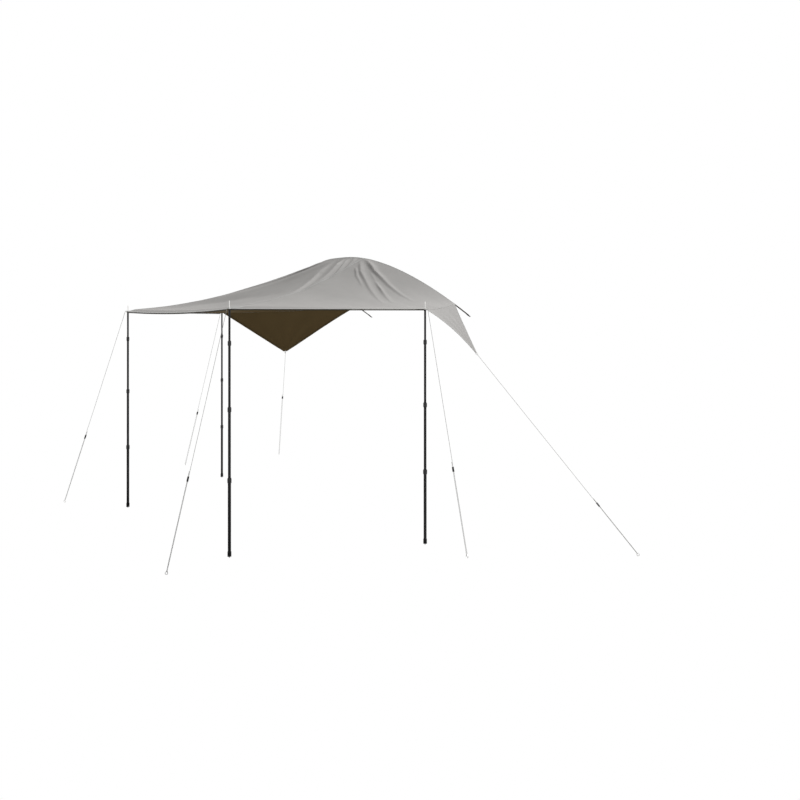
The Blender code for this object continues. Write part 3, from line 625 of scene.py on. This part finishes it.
def lay_cloth(name, columns, rows, place, size, flipped=False):
    """A sheet mapped from a flat grid, with its cloth coordinates in metres, in the awning's frame."""
    bm = bmesh.new()
    bmesh.ops.create_grid(bm, x_segments=columns, y_segments=rows, size=0.5)
    if flipped:
        bmesh.ops.reverse_faces(bm, faces=bm.faces)
    mesh = bpy.data.meshes.new(name)
    bm.to_mesh(mesh)
    bm.free()
    flat = np.zeros(len(mesh.vertices) * 3)
    mesh.vertices.foreach_get("co", flat)
    flat = flat.reshape(-1, 3)
    across, out = np.clip(flat[:, 0] + 0.5, 0, 1), np.clip(flat[:, 1] + 0.5, 0, 1)
    points, raised = place(across, out)
    mesh.vertices.foreach_set("co", (points - np.array(ORIGIN)).ravel())
    corners = np.zeros(len(mesh.loops), dtype=np.int32)
    mesh.loops.foreach_get("vertex_index", corners)
    threads = mesh.uv_layers.new(name="threads")
    threads.data.foreach_set("uv", np.stack([across * size[0], out * size[1]], -1)[corners].ravel())
    # each point's fold height as a share, which the canvas paints as a highlight on fold crests
    crest_highlight = mesh.attributes.new("crest_highlight", "FLOAT", "POINT")
    crest_highlight.data.foreach_set("value", np.asarray(raised, dtype=np.float32))
    mesh.polygons.foreach_set("use_smooth", [True] * len(mesh.polygons))
    mesh.update()
    made = bpy.data.objects.new(name, mesh)
    bpy.context.scene.collection.objects.link(made)
    return made


def thicken(made, thickness, upper, lower=None):
    """Gives a sheet its thickness, and its lower face a finish of its own."""
    made.data.materials.append(upper)
    made.data.materials.append(lower or upper)
    solid = made.modifiers.new("thickness", "SOLIDIFY")
    solid.thickness = thickness
    solid.offset = 0
    solid.material_offset = 1


def settle(made, punches=()):
    """Fixes a piece's mesh after its modifiers, with round holes punched at the places given."""
    tools = []
    for number, (spot, axis, radius) in enumerate(punches):
        bm = bmesh.new()
        turned = axis.to_track_quat("Z", "Y").to_matrix().to_4x4()
        bmesh.ops.create_cone(bm, cap_ends=True, segments=32, radius1=radius, radius2=radius,
                              depth=PUNCH_DEPTH, matrix=Matrix.Translation(spot) @ turned)
        tool = bpy.data.objects.new("punch", bpy.data.meshes.new("punch"))
        bm.to_mesh(tool.data)
        bm.free()
        bpy.context.scene.collection.objects.link(tool)
        cut = made.modifiers.new(f"hole_{number}", "BOOLEAN")
        cut.object = tool
        cut.solver = "EXACT"
        tools.append(tool)
    bpy.context.view_layer.update()
    mesh = bpy.data.meshes.new_from_object(made.evaluated_get(bpy.context.evaluated_depsgraph_get()))
    made.modifiers.clear()
    made.data = mesh
    for tool in tools:
        bpy.data.objects.remove(tool, do_unlink=True)


def flat_area(made):
    """Area of one face of a sheet, taken before it gets its thickness."""
    return sum(face.area for face in made.data.polygons)


def canvas_finish(name, shade, light):
    """Plain-woven canvas: threads, slubs, faint marks of handling, and a painted highlight on fold
    crests.
    """
    material, finish = new_finish(name)
    place = finish.place()
    threads = finish.node("ShaderNodeUVMap", {"uv_map": "threads"}, {})
    warp = (finish.axis(threads, 0) * (2 * math.pi / CANVAS_THREAD)).sine()
    weft = (finish.axis(threads, 1) * (2 * math.pi / CANVAS_THREAD)).sine()
    slubs = finish.noise(threads, 420.0, 2.0, (0.12, 1, 1))
    marks = finish.noise(place, 5.0, 6.0)
    mottle = finish.noise(place, 46.0, 4.0)
    crest_highlight = finish.node("ShaderNodeAttribute", {"attribute_name": "crest_highlight"}, {}, "Fac")
    tone = (marks - 0.5) * 0.42 + (mottle - 0.5) * 0.24 + (slubs - 0.5) * 0.18 + 0.5
    # fold crests are painted lighter: a painted highlight
    finish.set(Base_Color=finish.mixed((tone + crest_highlight * 0.25).clamped(), shade, light))
    finish.set(Roughness=0.82 + (mottle - 0.5) * 0.2, Specular_IOR_Level=0.08)
    finish.set(Normal=finish.bump(warp * weft + slubs * 2.0 + mottle * 1.5, 0.10, 0.0006))
    return material


canvas = canvas_finish("grey_canvas", (0.270, 0.263, 0.255), (0.385, 0.376, 0.365))
# The underside's dark brown is partly the coating's colour and partly painted shade under the canopy.
coating_and_shade = canvas_finish("coating_and_painted_shade", (0.088, 0.060, 0.025), (0.128, 0.088, 0.038))

canopy_pieces = {}


def canopy_panel(name, start, end, columns, rows, size, sign=1):
    """A panel between two runs, with its edges cut out round the eyelets."""
    def place(across, out):
        angle = start + (end - start) * across
        point = canopy(angle, out, sign)
        return point * np.array((sign, 1, 1)), folds(angle, out, sign) / CREST_HIGHLIGHT_HEIGHT

    made = lay_cloth(name, columns, rows, place, size, sign < 0)
    area = flat_area(made)
    thicken(made, CLOTH, canvas, coating_and_shade)
    holes = [
        (POLES[pole] + UP * CORNER_HEIGHT - ORIGIN, UP, EYELET_CUT)
        for pole in POLES
        if (pole.startswith("front") and (sign * POLES[pole].x > 0 or "front" in name))
        or (pole.startswith("side") and "front" not in name and sign * POLES[pole].x > 0)
    ]
    settle(made, holes)
    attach(made, "canopy")
    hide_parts(f"canopy_{name}")
    canopy_pieces[name] = (made, size, area)


canopy_panel("front_panel", ARCH_RIDGE, math.pi - ARCH_RIDGE, 220, 212, (2.36, 2.22))
canopy_panel("right_panel", ARCH_END, ARCH_RIDGE, 215, 215, (1.80, 2.00))
canopy_panel("left_panel", ARCH_END, ARCH_RIDGE, 215, 215, (1.80, 2.00), -1)


# Side wings
# A triangle of the same canvas hangs from each side seam between pole and arch. Its point is
# drawn down and outwards by a guy line through a steel ring. The right one's edge is slacker.

SEAM_GAP = 0.0013        # from the side seam to the wing's first thread
WING_LOST = 0.0173       # that gap and the cloth that is cut off at the point
WING_SEAM = 1.10
WING_BELLY = 0.012
DRAWN_FOLD = 0.0030
SLACK_EDGE_SWELL = 0.022
SLACK_EDGE_HOLLOW = 0.06
WING_TIP_CUT = 0.0024


def wing_cloth(across, out, sign, raised=0.0):
    """Points of a wing with its belly and the fine folds that are drawn towards its point."""
    depth = wing_depth(sign)
    down = SEAM_GAP / depth + (1 - WING_LOST / depth) * out
    slack = max(sign, 0)
    belly = WING_BELLY * np.sin(math.pi * across) * np.sin(math.pi * out)
    belly = belly + SLACK_EDGE_SWELL * slack * bow(out) * np.clip(1 - across, 0, 1) ** 2
    drawn = DRAWN_FOLD * np.sin(across * 26) * 4 * out * (1 - out) * np.sin(math.pi * across)
    shift = belly + drawn + raised
    hollow = SLACK_EDGE_HOLLOW * slack * bow(down)
    point = wing_corner(hollow + across * (1 - hollow), down, sign)
    # the second value, the drawn folds' height, sets their painted crest highlight
    return point + np.array(wing_normal(sign)) * shift[..., None], drawn / 0.01


def wing(name, sign):
    depth = wing_depth(sign)

    def place(across, out):
        return wing_cloth(across, out, sign)

    made = lay_cloth(name, 90, 90, place, (WING_SEAM, depth), sign > 0)
    area = flat_area(made)
    thicken(made, CLOTH, canvas, coating_and_shade)
    settle(made, [(tip_hole(sign) - ORIGIN, wing_normal(sign), WING_TIP_CUT)])
    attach(made, "canopy")
    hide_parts(f"canopy_{name}")
    canopy_pieces[name] = (made, (WING_SEAM, depth), area)


wing("right_wing", 1)
wing("left_wing", -1)


# Seams
# The panels are joined by flat-felled seams, 14 mm wide with two rows of stitches, and each wing
# by a rolled one. The seams under the canopy are sealed with a smooth tape.

STITCH = 0.0042
STITCH_THREAD = 0.0008
SEAM_WIDTH = 0.014
SEAM_TAPE_WIDTH = 0.022
SEAM_ROWS = (0.003, 0.011)
STRIP = 0.0008           # thickness of a strip that is sewn on
RIDGE_FROM, RIDGE_SHARE = 0.004, 0.968
ROLL_FROM, ROLL_SHARE = 0.002, 0.970
ROLL_RADIUS = 0.0026


def stitched_finish(name, shade, light, thread, rows):
    """Canvas in two layers, with rows of stitches at the given distances from the strip's edge."""
    material, finish = new_finish(name)
    threads = finish.node("ShaderNodeUVMap", {"uv_map": "threads"}, {})
    along, aside = finish.axis(threads, 0), finish.axis(threads, 1)
    mottle = finish.noise(finish.place(), 46.0, 4.0)
    slubs = finish.noise(threads, 420.0, 2.0, (0.12, 1, 1))
    lying = (along * (2 * math.pi / STITCH)).sine() > -0.35
    stitch = None
    for row in rows:
        line = (aside > row - STITCH_THREAD / 2) * (aside < row + STITCH_THREAD / 2)
        stitch = line if stitch is None else stitch + line
    stitch = (stitch * lying).clamped()
    tone = ((mottle - 0.5) * 0.5 + (slubs - 0.5) * 0.3 + 0.55).clamped()
    finish.set(Base_Color=finish.mixed(stitch, finish.mixed(tone, shade, light), thread))
    finish.set(Roughness=0.8, Specular_IOR_Level=0.08)
    pucker = (along * (2 * math.pi / (2 * STITCH))).sine() * 0.4
    finish.set(Normal=finish.bump(pucker + slubs * 1.5 + stitch * 1.2, 0.25, 0.0008))
    return material


seam_canvas = stitched_finish("seam_canvas", (0.310, 0.308, 0.300), (0.430, 0.428, 0.418),
                              (0.46, 0.46, 0.44), SEAM_ROWS)
# The tape's dark brown, like the underside's, is partly painted shade under the canopy.
seam_tape = stitched_finish("seam_tape", (0.075, 0.056, 0.031), (0.105, 0.080, 0.045),
                            (0.10, 0.08, 0.05), SEAM_ROWS)
sewn_on = {name: [] for name in canopy_pieces}


def sew(made, thickness, material, sheet, below=None):
    """Finishes a strip or patch that is sewn to a sheet. Its second half may have a finish of its own."""
    if below:
        made.data.materials.append(material)
        made.data.materials.append(below)
        threads = made.data.uv_layers["threads"].data
        width = max(loop.uv[1] for loop in threads)
        for face in made.data.polygons:
            middle = sum(threads[corner].uv[1] for corner in face.loop_indices) / len(face.loop_indices)
            face.material_index = int(middle > width / 2)
        solid = made.modifiers.new("thickness", "SOLIDIFY")
        solid.thickness = thickness
        solid.offset = 0
    else:
        thicken(made, thickness, material)
    settle(made)
    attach(made, "canopy")
    sewn_on[sheet].append(made)


def ridge_strip(name, sign, width, lift, material):
    """A strip over the seam from a front pole to the arch's knee."""
    def place(across, out):
        run = RIDGE_FROM + RIDGE_SHARE * across
        aside = (out - 0.5) * width
        ridge = np.full_like(run, ARCH_RIDGE)
        middle, step = smooth_canopy(ridge, run), 0.01
        to_side = np.linalg.norm(middle - smooth_canopy(ridge - step, run), axis=-1) / step
        to_front = np.linalg.norm(smooth_canopy(ridge + step, run) - middle, axis=-1) / step
        angle = ARCH_RIDGE + aside / np.where(aside < 0, to_side, to_front)
        point = canopy(angle, run, sign) + lift * np.array(UP)
        return point * np.array((sign, 1, 1)), folds(angle, run, sign) / CREST_HIGHLIGHT_HEIGHT

    strip = lay_cloth(name, 240, 4, place, (2.0, width), sign > 0)
    sew(strip, STRIP, material, "front_panel")


for side, sign in (("right", 1), ("left", -1)):
    ridge_strip(f"{side}_ridge_seam", sign, SEAM_WIDTH, CLOTH / 2 + 0.0007, seam_canvas)
    ridge_strip(f"{side}_ridge_tape", sign, SEAM_TAPE_WIDTH, -CLOTH / 2 - 0.0005, seam_tape)


def rolled_seam(name, sign):
    """The rolled seam between a side panel and its wing."""
    def place(across, out):
        run = ROLL_FROM + ROLL_SHARE * across
        middle = smooth_canopy(np.full_like(run, ARCH_END), run)
        outer, inner = (smooth_canopy(np.array(ARCH_END), np.array(end)) for end in (1.0, 0.0))
        square = np.array(Vector(outer - inner).cross(UP).normalized())
        turn = 2 * math.pi * out
        around = np.cos(turn)[..., None] * square + np.sin(turn)[..., None] * np.array(UP)
        point = middle + ROLL_RADIUS * around
        return point * np.array((sign, 1, 1)), np.zeros_like(run)

    made = lay_cloth(name, 160, 10, place, (1.2, 0.016), sign < 0)
    bm = bmesh.new()
    bm.from_mesh(made.data)
    bmesh.ops.remove_doubles(bm, verts=bm.verts, dist=0.00002)
    bmesh.ops.holes_fill(bm, edges=bm.edges, sides=12)
    bmesh.ops.recalc_face_normals(bm, faces=bm.faces)
    bm.to_mesh(made.data)
    bm.free()
    made.data.materials.append(seam_canvas)
    made.data.materials.append(seam_tape)
    for face in made.data.polygons:
        face.material_index = int(face.normal.z < 0)
    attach(made, "canopy")
    sewn_on[name.replace("_rolled_seam", "_wing")].append(made)


rolled_seam("right_rolled_seam", 1)
rolled_seam("left_rolled_seam", -1)


# Hems
# The cloth's free edges are folded over and sewn down 24 mm in. A dark tape, 9 mm high, stiffens
# the three outer hems from below.

HEM = 0.024
HEM_AROUND = 0.05        # once round a hem, and so its cloth's width
HEM_ROWS = (0.005, 0.045)
FRONT_CLEAR = (math.pi - 2 * ARCH_RIDGE) * 0.030     # from a hem's end to the panel's corner
SIDE_CLEAR = (ARCH_RIDGE - ARCH_END) * 0.040
WING_HEM_FROM, WING_HEM_SHARE = 0.012, 0.905
WEBBING_RIB = 0.0022
WEBBING_CORD = 0.0016
TAPE_HEIGHT = 0.009
TAPE_DROP = 0.0026       # from the middle of the cloth to the tape
TAPE_INSET = 0.004       # from the hem's edge
TAPE = 0.0012
RIDGE_CLEAR = 0.006
ARCH_CLEAR = 0.003

hem_canvas = stitched_finish("hem_canvas", (0.290, 0.288, 0.281), (0.405, 0.403, 0.394),
                             (0.46, 0.46, 0.44), HEM_ROWS)
# The hem's lower face takes the underside's dark brown, which is partly painted shade.
hem_lining = stitched_finish("hem_lining", (0.080, 0.055, 0.024), (0.115, 0.080, 0.036),
                             (0.10, 0.08, 0.05), HEM_ROWS)
HEM_PROFILE = (        # distance from the edge, height
    (-HEM, CLOTH / 2 + 0.0005),
    (-0.003, CLOTH / 2 + 0.0007),
    (0.0006, CLOTH / 2),
    (0.0014, 0.0),
    (0.0006, -CLOTH / 2),
    (-0.003, -CLOTH / 2 - 0.0007),
    (-HEM, -CLOTH / 2 - 0.0005),
)


def hem_profile(out):
    """Distance from the edge and height, for a share of the way round a hem."""
    steps = np.linspace(0, 1, len(HEM_PROFILE))
    return [np.interp(out, steps, values) for values in zip(*HEM_PROFILE)]


def outer_hem_strip(name, start, end, long, sign=1):
    """A folded hem on the canopy's outer edge, between two runs."""
    def place(across, out):
        angle = start + (end - start) * across
        aside, lift = hem_profile(out)
        reach = np.linalg.norm(outer_hem(angle) - arch(angle), axis=-1)
        point = canopy(angle, 1 + aside / reach) + lift[..., None] * np.array(UP)
        return point * np.array((sign, 1, 1)), np.zeros_like(out)

    strip = lay_cloth(name, 120, 12, place, (long, HEM_AROUND), sign < 0)
    sew(strip, STRIP, hem_canvas, name.replace("_hem", "_panel"), hem_lining)


outer_hem_strip("front_hem", ARCH_RIDGE + FRONT_CLEAR, math.pi - ARCH_RIDGE - FRONT_CLEAR, 2.2)
outer_hem_strip("right_hem", ARCH_END + SIDE_CLEAR, ARCH_RIDGE - SIDE_CLEAR, 1.65)
outer_hem_strip("left_hem", ARCH_END + SIDE_CLEAR, ARCH_RIDGE - SIDE_CLEAR, 1.65, -1)


def wing_hem(name, sign, at_arch):
    """A folded hem on a wing's edge at the arch, or on that next to its pole."""
    def place(across, out):
        aside, lift = hem_profile(out)
        down = WING_HEM_FROM + WING_HEM_SHARE * across
        width = 1.05 * (1 - down) + 0.02
        over = 1 + aside / width if at_arch else -aside / width
        return wing_cloth(over, down, sign, lift)[0], np.zeros_like(out)

    strip = lay_cloth(name, 80, 12, place, (0.8, HEM_AROUND), (sign > 0) == at_arch)
    sew(strip, STRIP, hem_canvas, "right_wing" if sign > 0 else "left_wing", hem_lining)


for side, sign in (("right", 1), ("left", -1)):
    wing_hem(f"{side}_wing_pole_hem", sign, False)
    wing_hem(f"{side}_wing_arch_hem", sign, True)

webbing_material, webbing = new_finish("dark_webbing")
threads = webbing.node("ShaderNodeUVMap", {"uv_map": "threads"}, {})
ribs = (webbing.axis(threads, 0) * (2 * math.pi / WEBBING_RIB)).sine()
cords = (webbing.axis(threads, 1) * (2 * math.pi / WEBBING_CORD)).sine()
lint = webbing.noise(webbing.place(), 320.0, 3.0)
webbing.set(Base_Color=webbing.mixed((ribs * cords * 0.25 + lint * 0.9 - 0.1).clamped(),
                                     (0.034, 0.030, 0.022), (0.082, 0.074, 0.056)))
webbing.set(Roughness=0.85, Sheen_Weight=0.2, Specular_IOR_Level=0.2)
webbing.set(Normal=webbing.bump(ribs * cords + lint, 0.35, 0.0006))


def hem_tape(name, start, end, long, sign=1):
    """The tape that stands below an outer hem, a little in from its edge and clear of the poles."""
    def place(across, out):
        angle = start + (end - start) * across
        reach = np.linalg.norm(outer_hem(angle) - arch(angle), axis=-1)
        down = (TAPE_DROP + TAPE_HEIGHT * out)[..., None] * np.array(UP)
        point = canopy(angle, 1 - TAPE_INSET / reach) - down
        return point * np.array((sign, 1, 1)), np.zeros_like(out)

    strip = lay_cloth(name, 160, 4, place, (long, TAPE_HEIGHT), sign > 0)
    sew(strip, TAPE, webbing_material, name.replace("_hem_tape", "_panel"))


hem_tape("front_hem_tape", ARCH_RIDGE + RIDGE_CLEAR, math.pi - ARCH_RIDGE - RIDGE_CLEAR, 2.3)
hem_tape("right_hem_tape", ARCH_END + ARCH_CLEAR, ARCH_RIDGE - RIDGE_CLEAR, 1.75)
hem_tape("left_hem_tape", ARCH_END + ARCH_CLEAR, ARCH_RIDGE - RIDGE_CLEAR, 1.75, -1)


# Corner reinforcements and eyelets
# Over each pole the cloth is doubled below with dark webbing cloth and above with canvas. A
# rolled steel eyelet, 25 mm across, clamps the layers round the pole's spike.

FRONT_PATCHES = 25       # so many corner layers would cover the front hem
SIDE_PATCHES = 20
PATCH_TO = 0.9985        # share of a run where the layers end
UPPER_PATCH = 0.0006
UNDER_PATCH_CUT = 0.0122
UPPER_PATCH_CUT = 0.0131

steel_material, steel = new_finish("bright_steel")
place = steel.place()
brushed = steel.noise(place, 500.0, 3.0)
steel.set(Base_Color=steel.mixed(brushed, (0.55, 0.55, 0.54), (0.72, 0.72, 0.70)))
steel.set(Metallic=1.0, Roughness=0.25 + brushed * 0.15, Normal=steel.bump(brushed, 0.08, 0.0002))


def corner_layer(name, pole, run_from, lift, thickness, hole, material):
    """A layer of cloth over or under the canopy's corner, with a hole for the eyelet."""
    sign = 1 if pole.endswith("right") else -1
    front_step = (math.pi - 2 * ARCH_RIDGE) / FRONT_PATCHES
    side_step = (ARCH_RIDGE - ARCH_END) / SIDE_PATCHES
    if pole.startswith("front"):
        angles = (ARCH_RIDGE - side_step, ARCH_RIDGE, ARCH_RIDGE + front_step)
    else:
        angles = (ARCH_END + ARCH_CLEAR, ARCH_END + side_step / 2, ARCH_END + side_step)

    def place(across, out):
        angle = np.interp(across, (0, 0.5, 1), angles)
        point = canopy(angle, run_from + (PATCH_TO - run_from) * out) + lift * np.array(UP)
        return point * np.array((sign, 1, 1)), np.zeros_like(out)

    made = lay_cloth(name, 24, 12, place, (0.18, 0.09), sign < 0)
    thicken(made, thickness, material)
    settle(made, [(POLES[pole] + UP * CORNER_HEIGHT - ORIGIN, UP, hole)])
    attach(made, "canopy")
    side = "right_panel" if sign > 0 else "left_panel"
    sewn_on["front_panel" if pole.startswith("front") else side].append(made)
    return made


def turned_ring(name, profile, centre, axis):
    """A closed profile of (radius, height) turned round an axis."""
    bm = bmesh.new()
    ring = [bm.verts.new((r, 0, z)) for r, z in profile]
    edges = [bm.edges.new((ring[i - 1], ring[i])) for i in range(len(ring))]
    bmesh.ops.spin(bm, geom=ring + edges, axis=UP, cent=(0, 0, 0), steps=40, angle=2 * math.pi,
                   use_merge=True)
    bmesh.ops.remove_doubles(bm, verts=bm.verts, dist=0.00001)
    bmesh.ops.recalc_face_normals(bm, faces=bm.faces)
    turned = axis.to_track_quat("Z", "Y").to_matrix().to_4x4()
    bmesh.ops.transform(bm, verts=bm.verts, matrix=Matrix.Translation(centre) @ turned)
    made = bpy.data.objects.new(name, bpy.data.meshes.new(name))
    bm.to_mesh(made.data)
    bm.free()
    made.data.materials.append(steel_material)
    made.data.polygons.foreach_set("use_smooth", [True] * len(made.data.polygons))
    bpy.context.scene.collection.objects.link(made)
    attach(made, "canopy")


EYELET_PROFILE = (       # radius, height
    (0.0052, -0.0029), (0.0052, 0.0029), (0.0055, 0.0034), (0.0062, 0.0036), (0.0100, 0.0036),
    (0.0117, 0.0034), (0.0124, 0.0028), (0.0125, 0.0018), (0.0125, -0.0018), (0.0124, -0.0028),
    (0.0117, -0.0034), (0.0100, -0.0036), (0.0062, -0.0036), (0.0055, -0.0034),
)
for pole, place in POLES.items():
    under = corner_layer(f"{pole}_under_patch", pole, FLAT_FROM, -(CLOTH / 2 + GAP + PATCH / 2), PATCH,
                         UNDER_PATCH_CUT, webbing_material)
    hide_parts(f"{pole}_corner_patch")
    corner_layer(f"{pole}_upper_patch", pole, FLAT_FROM + 0.004, CLOTH / 2 + 0.0004, UPPER_PATCH,
                 UPPER_PATCH_CUT, seam_canvas)
    middle = place + UP * (EYELET_HEIGHT + GAP + EYELET_THICK / 2) - ORIGIN
    turned_ring(f"{pole}_eyelet", EYELET_PROFILE, middle, UP)


# Wing points
# Each wing's point is doubled on both faces, and has a small rolled grommet for the steel ring.

TIP_PATCH = 0.0016       # both layers together
TIP_PATCH_CUT = 0.0026
GROMMET_PROFILE = (      # radius, height
    (0.0023, -0.0014), (0.0023, 0.0014), (0.0027, 0.0019), (0.0040, 0.0019), (0.0048, 0.0013),
    (0.0048, -0.0013), (0.0040, -0.0019), (0.0027, -0.0019),
)
for side, sign in (("right", 1), ("left", -1)):
    def place_tip(across, out):
        return wing_cloth(0.004 + 0.992 * across, 0.90 + 0.0995 * out, sign)

    made = lay_cloth(f"{side}_wing_tip_patch", 24, 24, place_tip, (0.10, 0.06), sign > 0)
    thicken(made, CLOTH + TIP_PATCH, canvas, coating_and_shade)
    settle(made, [(tip_hole(sign) - ORIGIN, wing_normal(sign), TIP_PATCH_CUT)])
    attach(made, "canopy")
    sewn_on[f"{side}_wing"].append(made)
    turned_ring(f"{side}_wing_grommet", GROMMET_PROFILE, tip_hole(sign) - ORIGIN, wing_normal(sign))
    dress(f"wing_{side}_tip_ring", steel_material)


# Arched band and its clips
# The arched edge is sewn to a 30 mm band of dark webbing that is fixed along the tent's arch. Past
# the cloth it runs on to a moulded hook at each end.

BAND_END = math.radians(10)
BAND_OFFSET = 0.0015
BAND_WIDTH = 0.030
BAND = 0.002


def place_band(across, out):
    angle = BAND_END + (math.pi - 2 * BAND_END) * across
    along = arch(angle + 0.001) - arch(angle - 0.001)
    along = along / np.linalg.norm(along, axis=-1, keepdims=True)
    inward = np.cross(along, np.array(ARCH_NORMAL))
    return arch(angle) + inward * (BAND_OFFSET + BAND_WIDTH * out)[..., None], np.zeros_like(out)


band = lay_cloth("webbing_band", 400, 8, place_band, (4.0, BAND_WIDTH))
thicken(band, BAND, webbing_material)
settle(band)
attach(band, "canopy")
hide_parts("arch_band")


def place_binding(across, out):
    angle = ARCH_END + (math.pi - 2 * ARCH_END) * across
    near = np.minimum(angle, math.pi - angle)
    run = 0.0006 + 0.010 * out
    point = canopy(near, run) + (CLOTH / 2 + 0.0006) * np.array(UP)
    half = np.where(angle > math.pi / 2, -1.0, 1.0)
    return point * np.stack([half, np.ones_like(out), np.ones_like(out)], -1), np.zeros_like(out)


binding = lay_cloth("arch_binding", 400, 6, place_binding, (3.6, 0.020))
sew(binding, STRIP, seam_canvas, "front_panel")
for side in ("right", "left"):
    dress(f"arch_clip_{side}", moulded_material)
